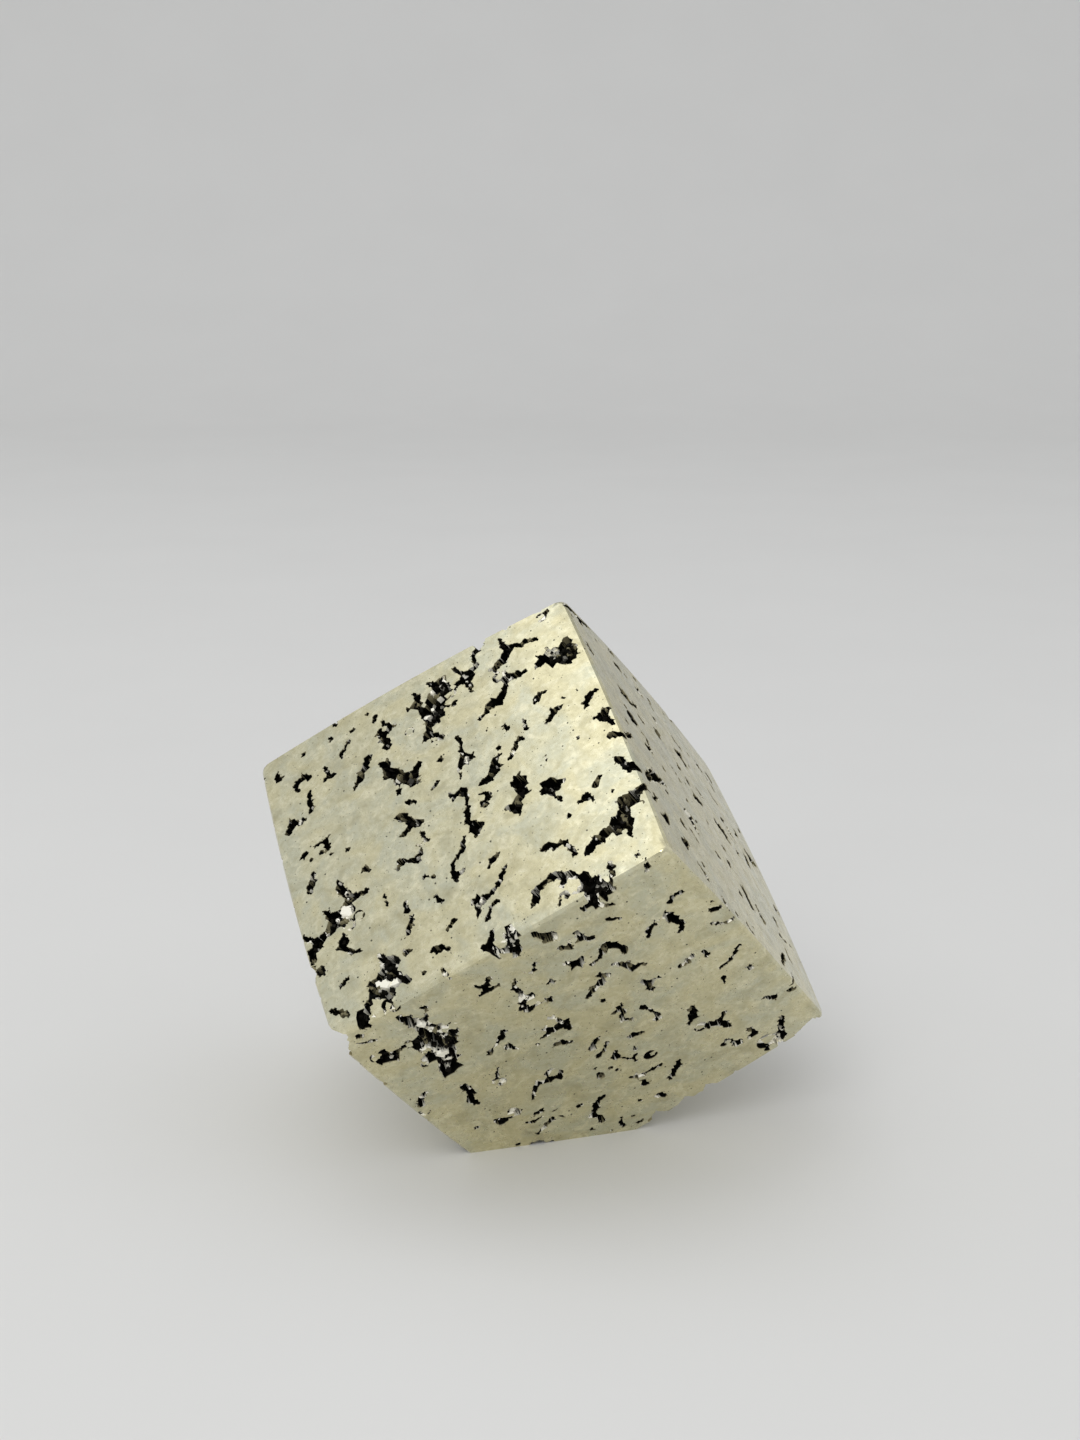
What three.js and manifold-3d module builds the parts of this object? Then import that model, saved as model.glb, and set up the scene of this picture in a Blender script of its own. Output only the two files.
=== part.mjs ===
// A natural pyrite cube, ground and polished, whose lowest corner is cut away so that it stands on a
// small triangular facet with one edge towards the viewer. Open vugs pit every face and chips break
// the edges. Millimetres, +Z up; the origin is the centre of the resting facet.
import * as THREE from 'three';
import { mergeVertices } from 'three/addons/utils/BufferGeometryUtils.js';
import Module from 'manifold-3d';

const wasm = await Module();
wasm.setup();

// ---- driving dimensions ----------------------------------------------------------------------
const SIDE = 50; // edge of the cube before grinding
const CUT = { left: 14.8, right: 18.6, back: 19.2 }; // length that the cut takes off each lower edge
const FRONT_HEADING = -71.5; // degrees from +X towards +Y that the front face looks
const BEVEL_DEPTH = 0.42; // polished bevel along the twelve edges
const CORNER_DEPTH = 0.9; // rounding at the corners
const REST_BEVEL_DEPTH = 0.12; // fine bevel round the resting facet
const VUG_DEPTH = 1.15; // a vug's depth over its half width
const VUG_SINK = 0.1; // how far a vug's middle stands below the face, over its half width
const STRETCH_OVERLAP = 0.55; // how far a vug's stretches run past their ends, over the half widths
const BAR_SIDES = 6;
const WELD = 0.1; // features finer than this are left out

// Each face of the cube: the crystal axis it looks along and which way, how far grinding left it
// leaning towards the next axis and the one after (degrees), and how far out it stands.
// The crystal axes run from the near corner to the left, top and right corners.
const FACES = {
  upper_left: { axis: 2, way: -1, lean: [-1.11, 0.56], out: 0.04 },
  front: { axis: 1, way: -1, lean: [-1.23, -0.9], out: -0.17 },
  right: { axis: 0, way: -1, lean: [0.32, -0.99], out: 0.13 },
  under_right: { axis: 2, way: 1, lean: [-0.21, 0.66], out: 0.04 },
  back_top: { axis: 1, way: 1, lean: [-1.13, -1.58], out: -0.17 },
  under_left: { axis: 0, way: 1, lean: [-0.36, -0.09], out: 0.13 },
};

const CORNERS = {
  near: ['upper_left', 'front', 'right'],
  top: ['upper_left', 'right', 'back_top'],
  left: ['upper_left', 'front', 'under_left'],
  right: ['front', 'right', 'under_right'],
  far_left: ['upper_left', 'back_top', 'under_left'],
  far_right: ['right', 'under_right', 'back_top'],
  back: ['under_right', 'back_top', 'under_left'],
  bottom: ['front', 'under_right', 'under_left'],
};

// Each face's own ruler: the corner it starts from, the corner that u runs to, and the corner on
// the side that v runs to.
const RULERS = {
  upper_left: ['near', 'left', 'top'],
  front: ['near', 'left', 'right'],
  right: ['near', 'right', 'top'],
  under_right: ['right', 'far_right', 'bottom'],
  back_top: ['top', 'far_left', 'far_right'],
  under_left: ['left', 'far_left', 'bottom'],
};

// The wider vugs and edge chips of each face, each a chain of places: [u, v, half width].
const VUGS = {
  upper_left: [
    [[1.8, 38.2, 1.5], [3.6, 38.0, 1.7], [5.4, 38.6, 1.0]],
    [[7.4, 43.3, 0.7], [9.4, 43.3, 1.2], [11.4, 41.6, 0.9], [11.2, 38.9, 1.0], [13.1, 36.1, 1.1]],
    [[13.0, 47.6, 0.9], [14.4, 44.6, 0.6], [16.4, 42.9, 1.0], [16.2, 41.0, 0.6]],
    [[19.8, 45.2, 0.8], [20.8, 43.2, 1.4], [21.9, 40.7, 1.2], [23.4, 38.2, 0.9], [22.8, 35.6, 0.6]],
    [[22.0, 42.6, 0.8], [24.4, 43.6, 0.9]],
    [[29.4, 42.4, 1.2], [30.4, 40.2, 0.8]],
    [[33.5, 39.0, 0.8], [34.8, 37.4, 0.9], [35.8, 35.9, 0.6]],
    [[28.1, 32.2, 1.3], [29.8, 33.2, 1.2], [30.8, 35.0, 1.2]],
    [[43.4, 42.7, 1.0], [44.6, 42.0, 0.7]],
    [[46.9, 45.8, 0.7]],
    [[20.4, 30.0, 1.0]],
    [[16.3, 27.0, 0.7], [17.7, 24.9, 1.1]],
    [[22.8, 25.0, 0.9], [22.4, 21.2, 0.7], [22.2, 18.5, 1.1]],
    [[31.2, 26.4, 0.6], [30.0, 24.4, 1.0]],
    [[14.7, 21.4, 1.0], [15.2, 19.5, 1.1], [16.5, 17.9, 1.1]],
    [[10.7, 18.6, 1.1], [11.9, 18.1, 0.7]],
    [[39.3, 18.7, 0.6], [42.0, 18.3, 1.3], [42.3, 21.0, 1.0], [44.7, 16.8, 1.6], [47.6, 15.2, 1.1]],
    [[44.3, 12.7, 0.9]],
    [[33.7, 19.7, 0.8]],
    [[0.9, 10.4, 0.9], [2.8, 9.6, 1.3], [4.6, 7.4, 1.5], [7.0, 7.0, 1.1], [8.9, 6.1, 0.7]],
    [[25.3, 7.9, 0.9]],
    [[39.6, 6.4, 1.2], [39.6, 4.6, 1.5], [41.8, 4.2, 1.2], [37.6, 2.9, 0.8], [41.2, 1.0, 1.2]],
    [[8.6, 1.3, 1.0], [11.3, 1.3, 1.6], [13.2, 3.6, 1.2], [15.2, 4.9, 0.9], [17.9, 4.1, 0.8]],
    [[25.0, 1.0, 1.3], [23.2, -0.4, 1.4]],
    [[1.2, 24.4, 1.0], [0.8, 22.9, 0.7]],
    [[0.9, 20.4, 0.8]],
    [[1.5, 16.2, 0.9], [0.7, 14.6, 0.8]],
    [[46.1, 35.9, 0.8], [47.1, 35.3, 0.7]],
    [[12.0, 49.0, 0.9]],
    [[48.3, 1.0, 1.9], [49.6, 2.2, 1.9], [49.9, -0.4, 2.3]],
  ],
  front: [
    [[41.2, 15.7, 1.7], [40.3, 12.9, 1.5], [41.5, 10.4, 1.3], [38.8, 9.5, 1.6], [40.6, 7.6, 1.4]],
    [[39.0, 6.1, 1.0], [40.3, 4.4, 1.0]],
    [[45.8, 7.8, 1.2]],
    [[47.9, 20.2, 0.8], [46.6, 18.8, 0.6]],
    [[41.8, 22.3, 0.9], [42.4, 25.3, 0.7]],
    [[31.5, 28.9, 1.2], [34.4, 28.8, 0.8]],
    [[40.2, 32.2, 0.8], [42.2, 32.3, 0.9]],
    [[32.4, 42.9, 0.9], [31.8, 40.9, 0.9], [30.1, 39.3, 0.6]],
    [[23.6, 40.6, 0.9], [23.4, 38.9, 0.8]],
    [[20.1, 42.6, 0.6], [18.5, 40.9, 0.6]],
    [[4.8, 48.0, 1.1], [3.8, 45.6, 0.8], [6.9, 47.4, 1.1]],
    [[10.0, 43.4, 0.8]],
    [[9.7, 38.4, 0.7], [10.6, 36.9, 1.1], [12.4, 36.0, 0.8]],
    [[12.4, 32.4, 0.9], [11.9, 31.3, 0.7]],
    [[15.8, 28.6, 0.9]],
    [[13.3, 21.5, 0.9]],
    [[25.7, 20.2, 1.0], [27.4, 18.6, 1.1]],
    [[13.5, 16.7, 0.9], [14.4, 14.8, 0.9]],
    [[19.3, 16.4, 1.0]],
    [[13.1, 12.4, 0.7], [13.9, 10.6, 1.2]],
    [[18.3, 10.7, 0.9], [19.3, 9.8, 1.0]],
    [[5.5, 12.4, 0.9], [6.8, 11.3, 0.9], [9.1, 12.0, 0.8]],
    [[16.1, 6.3, 0.9], [18.3, 6.2, 0.8]],
    [[27.6, 13.2, 0.9], [26.0, 12.7, 0.9], [27.0, 10.6, 0.9]],
    [[23.6, 6.8, 0.9]],
    [[19.6, 2.8, 1.0]],
    [[11.4, 2.0, 1.2]],
    [[17.9, 51.2, 1.9], [19.8, 51.2, 1.9], [21.4, 51.6, 1.3]],
    [[25.8, 50.9, 1.9]],
    [[13.0, 51.5, 0.9]],
    [[-1.0, 50.4, 1.8], [0.6, 51.8, 1.7]],
    [[39.5, 43.6, 1.0], [41.6, 42.2, 1.0]],
  ],
  right: [
    [[9.4, 34.6, 1.4], [12.0, 34.4, 0.7]],
    [[18.5, 33.8, 1.0]],
    [[7.8, 28.6, 1.0]],
    [[26.4, 35.0, 1.2], [27.8, 34.2, 0.9]],
    [[12.8, 43.3, 0.9]],
    [[19.5, 42.9, 0.9]],
    [[13.2, 47.0, 0.8]],
    [[33.4, 48.6, 1.1]],
    [[37.8, 41.2, 1.0]],
    [[42.6, 42.4, 1.1]],
    [[22.2, 29.5, 0.8]],
    [[24.6, 25.2, 1.0], [26.4, 25.5, 0.7]],
    [[30.6, 24.8, 0.9], [32.8, 24.2, 1.1]],
    [[36.4, 25.9, 1.1], [38.2, 27.0, 0.9]],
    [[40.9, 23.4, 1.2]],
    [[44.0, 26.4, 1.4], [46.2, 27.2, 1.2]],
    [[15.9, 15.2, 1.4]],
    [[10.9, 11.4, 0.8]],
    [[22.4, 13.6, 0.8]],
    [[27.4, 14.8, 0.8]],
    [[29.8, 11.1, 1.1], [30.2, 9.0, 1.1]],
    [[33.9, 9.0, 0.9]],
    [[42.6, 13.6, 0.9]],
    [[7.0, 17.0, 1.3], [4.6, 15.7, 1.1], [2.4, 13.9, 1.0], [9.6, 16.2, 0.8]],
    [[3.7, 7.2, 1.3]],
    [[8.0, 5.8, 1.2]],
    [[13.0, 4.6, 0.9]],
    [[36.9, 3.6, 0.8]],
    [[47.4, 18.4, 0.9]],
  ],
  under_right: [
    [[8.0, 9.0, 1.4], [10.2, 10.4, 1.1], [11.6, 12.2, 0.8]],
    [[22.0, 6.5, 1.0], [24.1, 6.0, 1.2]],
    [[37.5, 12.0, 1.5], [39.0, 14.2, 1.0]],
    [[15.5, 21.0, 1.1], [17.2, 22.3, 0.9]],
    [[29.0, 19.5, 1.6], [31.2, 20.8, 1.2], [31.8, 23.0, 0.8]],
    [[43.0, 26.5, 1.1]],
    [[6.5, 27.5, 1.0], [7.3, 29.2, 0.8]],
    [[23.0, 30.5, 1.0]],
    [[36.0, 33.0, 1.4], [34.3, 34.4, 1.0]],
    [[44.5, 39.5, 1.2], [43.0, 41.0, 0.8]],
    [[31.5, 44.5, 1.1]],
  ],
  back_top: [
    [[7.0, 8.5, 1.2], [9.0, 9.4, 1.0], [10.2, 11.2, 0.8]],
    [[19.5, 12.5, 1.5], [21.6, 13.6, 1.1]],
    [[33.0, 7.5, 1.0], [34.8, 8.2, 0.8]],
    [[43.0, 14.0, 1.4], [42.0, 16.2, 1.0]],
    [[11.5, 22.5, 1.1]],
    [[25.0, 23.0, 1.0], [26.2, 24.8, 1.3], [26.0, 27.0, 0.8]],
    [[38.0, 26.5, 1.6], [40.2, 27.4, 1.2]],
    [[6.5, 33.5, 1.1], [8.2, 34.8, 0.9]],
    [[19.0, 36.0, 1.5], [17.6, 38.0, 1.0]],
    [[31.5, 38.5, 1.1]],
    [[43.5, 40.0, 1.3], [41.8, 41.8, 0.9]],
    [[25.5, 45.5, 1.0]],
  ],
  under_left: [
    [[9.0, 7.5, 1.3], [11.0, 8.6, 1.0]],
    [[23.5, 9.5, 1.5], [25.5, 11.0, 1.2], [25.8, 13.2, 0.8]],
    [[38.5, 7.0, 1.0]],
    [[42.5, 18.0, 1.3], [44.0, 19.8, 0.9]],
    [[14.0, 19.5, 1.1], [12.6, 21.2, 0.9]],
    [[30.0, 22.5, 1.2]],
    [[7.5, 30.5, 1.0]],
    [[20.0, 30.0, 1.5], [22.2, 31.0, 1.1]],
    [[36.5, 32.5, 1.1], [35.2, 34.4, 0.8]],
    [[27.5, 40.5, 1.2]],
    [[42.0, 43.0, 1.4], [43.6, 41.4, 0.9]],
  ],
};

const PYRITE = new THREE.MeshStandardMaterial({ color: 0xb9b391, roughness: 0.32, metalness: 1 });

// ---- solids ----------------------------------------------------------------------------------

// A closed three.js geometry as a solid that can be cut and joined.
function solid(geometry) {
  const bare = geometry.clone();
  bare.deleteAttribute('normal');
  bare.deleteAttribute('uv');
  const merged = mergeVertices(bare, 1e-5);
  return new wasm.Manifold(new wasm.Mesh({
    numProp: 3,
    vertProperties: new Float32Array(merged.attributes.position.array),
    triVerts: new Uint32Array(merged.index.array),
  }));
}

// A solid as a three.js geometry.
function geometryOf(made) {
  const mesh = made.getMesh();
  const geometry = new THREE.BufferGeometry();
  geometry.setAttribute('position', new THREE.BufferAttribute(mesh.vertProperties, 3));
  geometry.setIndex(new THREE.BufferAttribute(mesh.triVerts, 1));
  return geometry;
}

// Everything on the outer side of a plane, as a slab wide enough to cover the cube.
function outsideOf(plane) {
  const slab = new THREE.BoxGeometry(6 * SIDE, 6 * SIDE, 2 * SIDE);
  const turn = new THREE.Quaternion().setFromUnitVectors(new THREE.Vector3(0, 0, 1), plane.normal);
  slab.applyQuaternion(turn);
  const middle = plane.normal.clone().multiplyScalar(SIDE - plane.constant);
  slab.translate(middle.x, middle.y, middle.z);
  return solid(slab);
}

// ---- the cube in its crystal axes --------------------------------------------------------------

function facePlane({ axis, way, lean, out }) {
  const normal = new THREE.Vector3().setComponent(axis, way);
  normal.setComponent((axis + 1) % 3, Math.tan(THREE.MathUtils.degToRad(lean[0])));
  normal.setComponent((axis + 2) % 3, Math.tan(THREE.MathUtils.degToRad(lean[1])));
  normal.normalize();
  const middle = new THREE.Vector3(0.5, 0.5, 0.5).multiplyScalar(SIDE);
  middle.setComponent(axis, SIDE * (0.5 + way / 2));
  return new THREE.Plane(normal, -(normal.dot(middle) + out));
}

// The point where three planes meet.
function meet(a, b, c) {
  const bc = new THREE.Vector3().crossVectors(b.normal, c.normal);
  const ca = new THREE.Vector3().crossVectors(c.normal, a.normal);
  const ab = new THREE.Vector3().crossVectors(a.normal, b.normal);
  const point = bc.clone().multiplyScalar(-a.constant);
  point.addScaledVector(ca, -b.constant).addScaledVector(ab, -c.constant);
  return point.divideScalar(a.normal.dot(bc));
}

const entries = (object, make) =>
  Object.fromEntries(Object.entries(object).map(([name, value]) => [name, make(value, name)]));

const crystalPlanes = entries(FACES, facePlane);
const crystalCorners = entries(CORNERS, (faces) => meet(...faces.map((f) => crystalPlanes[f])));

// The turn that stands the cube on its cut corner with the front face at its heading.
function standing() {
  const { bottom, left, right, back } = crystalCorners;
  const along = (corner, length) =>
    bottom.clone().addScaledVector(corner.clone().sub(bottom).normalize(), length);
  const feet = [along(left, CUT.left), along(right, CUT.right), along(back, CUT.back)];
  const cut = new THREE.Plane().setFromCoplanarPoints(...feet);
  const up = cut.normal.clone().multiplyScalar(Math.sign(cut.distanceToPoint(crystalCorners.near)));
  const ahead = crystalPlanes.front.normal.clone().projectOnPlane(up).normalize();
  const aside = new THREE.Vector3().crossVectors(up, ahead);
  const turn = new THREE.Matrix4().makeBasis(ahead, aside, up).transpose();
  turn.premultiply(new THREE.Matrix4().makeRotationZ(THREE.MathUtils.degToRad(FRONT_HEADING)));
  const middle = feet.reduce((sum, foot) => sum.add(foot), new THREE.Vector3()).divideScalar(3);
  return turn.multiply(new THREE.Matrix4().makeTranslation(-middle.x, -middle.y, -middle.z));
}

// ---- the cube as it stands ---------------------------------------------------------------------

const stand = standing();
const planes = entries(crystalPlanes, (plane) => plane.clone().applyMatrix4(stand));
const corners = entries(crystalCorners, (corner) => corner.clone().applyMatrix4(stand));
const restPlane = new THREE.Plane(new THREE.Vector3(0, 0, -1), 0);

// A plane that takes a fixed depth off the edge or corner where the given planes meet at a point.
function bevelPlane(meeting, point, depth) {
  const normal = meeting.reduce((sum, plane) => sum.add(plane.normal), new THREE.Vector3()).normalize();
  return new THREE.Plane(normal, -(normal.dot(point) - depth));
}

function edgeBevels() {
  const names = Object.keys(CORNERS);
  const bevels = [];
  names.forEach((a, i) => names.slice(i + 1).forEach((b) => {
    const shared = CORNERS[a].filter((face) => CORNERS[b].includes(face));
    if (shared.length === 2) bevels.push(bevelPlane(shared.map((f) => planes[f]), corners[a], BEVEL_DEPTH));
  }));
  return bevels;
}

function cornerBevels() {
  const kept = Object.keys(CORNERS).filter((name) => name !== 'bottom');
  return kept.map((name) => bevelPlane(CORNERS[name].map((f) => planes[f]), corners[name], CORNER_DEPTH));
}

function restBevels() {
  return CORNERS.bottom.map((face) => {
    const others = CORNERS.bottom.filter((name) => name !== face);
    const point = meet(restPlane, planes[face], planes[others[0]]);
    return bevelPlane([restPlane, planes[face]], point, REST_BEVEL_DEPTH);
  });
}

function polishedCube() {
  const cuts = [...Object.values(planes), restPlane, ...edgeBevels(), ...cornerBevels(), ...restBevels()];
  const block = solid(new THREE.BoxGeometry(3 * SIDE, 3 * SIDE, 3 * SIDE));
  return cuts.reduce((cube, plane) => cube.subtract(outsideOf(plane)), block);
}

// ---- vugs and chips ----------------------------------------------------------------------------

// A face's ruler as a matrix: x is u, y is v and z points out of the stone.
function rulerMatrix(face) {
  const [start, uEnd, vSide] = RULERS[face].map((name) => corners[name]);
  const u = uEnd.clone().sub(start).normalize();
  const out = planes[face].normal.clone();
  const v = new THREE.Vector3().crossVectors(out, u);
  if (v.dot(vSide.clone().sub(start)) < 0) v.negate();
  return new THREE.Matrix4().makeBasis(u, v, out).setPosition(start);
}

// A hollow's shape, drawn round the face's own origin, cut at a place on the face.
function hollow(matrix, shape, u, v, radius) {
  shape.scale(1, 1, VUG_DEPTH).translate(u, v, -VUG_SINK * radius).applyMatrix4(matrix);
  if (matrix.determinant() < 0) {
    const order = shape.index ? [...shape.index.array] : [...Array(shape.attributes.position.count).keys()];
    shape.setIndex(order.reverse());
  }
  return solid(shape);
}

// A vug that stands alone: twenty-sided, each turned differently so that no two facets line up.
function pocket(matrix, [u, v, radius], index) {
  const shape = new THREE.IcosahedronGeometry(radius, 0).rotateX(index * 1.9).rotateZ(index * 2.4);
  return hollow(matrix, shape, u, v, radius);
}

// One stretch of a longer vug: a six-sided bar that tapers from one place to the next.
function stretch(matrix, [u0, v0, radius0], [u1, v1, radius1]) {
  const run = Math.hypot(u1 - u0, v1 - v0);
  const overlap = STRETCH_OVERLAP * (radius0 + radius1);
  const shape = new THREE.CylinderGeometry(radius1, radius0, run + overlap, BAR_SIDES);
  shape.rotateZ(Math.atan2(v1 - v0, u1 - u0) - Math.PI / 2);
  return hollow(matrix, shape, (u0 + u1) / 2, (v0 + v1) / 2, Math.min(radius0, radius1));
}

function hollows() {
  const parts = Object.entries(VUGS).flatMap(([face, chains]) => {
    const matrix = rulerMatrix(face);
    return chains.flatMap((chain, index) => (chain.length === 1
      ? [pocket(matrix, chain[0], index)]
      : chain.slice(1).map((place, i) => stretch(matrix, chain[i], place))));
  });
  return parts.reduce((all, next) => all.add(next));
}

const stone = polishedCube().subtract(hollows()).simplify(WELD);

const part = new THREE.Group();
const pyriteCube = new THREE.Mesh(geometryOf(stone), PYRITE);
pyriteCube.name = 'pyrite_cube';
part.add(pyriteCube);

export default part;
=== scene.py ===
"""The looks of a pyrite cube, ground and polished and stood on its cut corner.

Lengths are millimetres while the shapes are worked out and metres in the finished meshes.
"""
import logging
import math
from collections import Counter
from collections.abc import Iterable, Iterator
from dataclasses import dataclass, field
from enum import Enum

import bmesh
import bpy
import numpy as np
from mathutils import Euler, Matrix, Vector
from mathutils.geometry import delaunay_2d_cdt


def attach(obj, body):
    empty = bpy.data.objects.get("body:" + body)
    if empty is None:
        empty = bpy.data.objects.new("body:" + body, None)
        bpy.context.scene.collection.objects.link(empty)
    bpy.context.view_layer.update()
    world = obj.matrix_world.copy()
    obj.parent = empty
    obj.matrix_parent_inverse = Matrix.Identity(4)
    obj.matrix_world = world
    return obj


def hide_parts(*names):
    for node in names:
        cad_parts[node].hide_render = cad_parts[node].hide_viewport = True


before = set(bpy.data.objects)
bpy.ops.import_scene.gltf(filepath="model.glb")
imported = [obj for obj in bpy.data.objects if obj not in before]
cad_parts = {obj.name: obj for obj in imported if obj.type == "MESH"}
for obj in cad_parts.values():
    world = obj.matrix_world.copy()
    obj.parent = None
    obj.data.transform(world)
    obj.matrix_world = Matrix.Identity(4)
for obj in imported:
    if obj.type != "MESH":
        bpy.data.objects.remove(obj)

LOG = logging.getLogger("pyrite_cube")
MM = 0.001
NODE = "pyrite_cube"
BODY = "root"
TINY = 1e-9

# The kind of triangulation that fills the inside of the given outlines and leaves their holes open.
INSIDE_WITH_HOLES = 2

# The seeds of the crystals' sizes, turns and glints.
SIZE_SEED = 1
TURN_SEED = 2
GLINT_SEED = 3

Place = tuple[float, float, float]
Chain = list[Place]
Span = tuple[float, float]
Colour = tuple[float, float, float]
Socket = bpy.types.NodeSocket


class Face(Enum):
    """The six faces of the cube, each with roughly the way it looks."""

    UPPER_LEFT = (-0.4, -0.6, 0.7)
    FRONT = (0.3, -0.8, -0.5)
    RIGHT = (0.8, -0.1, 0.5)
    UNDER_RIGHT = (0.5, 0.6, -0.7)
    BACK_TOP = (-0.3, 0.8, 0.5)
    UNDER_LEFT = (-0.8, 0.1, -0.5)


class Corner(Enum):
    """The corners that the faces' rulers run between, each with the faces that meet there."""

    NEAR = (Face.UPPER_LEFT, Face.FRONT, Face.RIGHT)
    TOP = (Face.UPPER_LEFT, Face.RIGHT, Face.BACK_TOP)
    LEFT = (Face.UPPER_LEFT, Face.FRONT, Face.UNDER_LEFT)
    RIGHT = (Face.FRONT, Face.RIGHT, Face.UNDER_RIGHT)
    FAR_LEFT = (Face.UPPER_LEFT, Face.BACK_TOP, Face.UNDER_LEFT)
    FAR_RIGHT = (Face.RIGHT, Face.UNDER_RIGHT, Face.BACK_TOP)
    BACK = (Face.UNDER_RIGHT, Face.BACK_TOP, Face.UNDER_LEFT)
    BOTTOM = (Face.FRONT, Face.UNDER_RIGHT, Face.UNDER_LEFT)


OPPOSITE = {
    Face.UPPER_LEFT: Face.UNDER_RIGHT,
    Face.FRONT: Face.BACK_TOP,
    Face.RIGHT: Face.UNDER_LEFT,
}

# The edges that are not bevelled like the rest, by the two faces that meet there: each strip's lean
# to the two faces and its depth.
EDGE_STRIPS = {
    frozenset((Face.UPPER_LEFT, Face.RIGHT)): [((2.2, 1), 0.34), ((1, 1.5), 0.36)],
    frozenset((Face.UPPER_LEFT, Face.FRONT)): [((2.6, 1), 0.08), ((1, 1.15), 0.24)],
}

# Each face's ruler: the corner it starts from, the one that u runs to, and one on v's side.
RULERS = {
    Face.UPPER_LEFT: (Corner.NEAR, Corner.LEFT, Corner.TOP),
    Face.FRONT: (Corner.NEAR, Corner.LEFT, Corner.RIGHT),
    Face.RIGHT: (Corner.NEAR, Corner.RIGHT, Corner.TOP),
    Face.UNDER_RIGHT: (Corner.RIGHT, Corner.FAR_RIGHT, Corner.BOTTOM),
    Face.BACK_TOP: (Corner.TOP, Corner.FAR_LEFT, Corner.FAR_RIGHT),
    Face.UNDER_LEFT: (Corner.LEFT, Corner.FAR_LEFT, Corner.BOTTOM),
}

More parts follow.
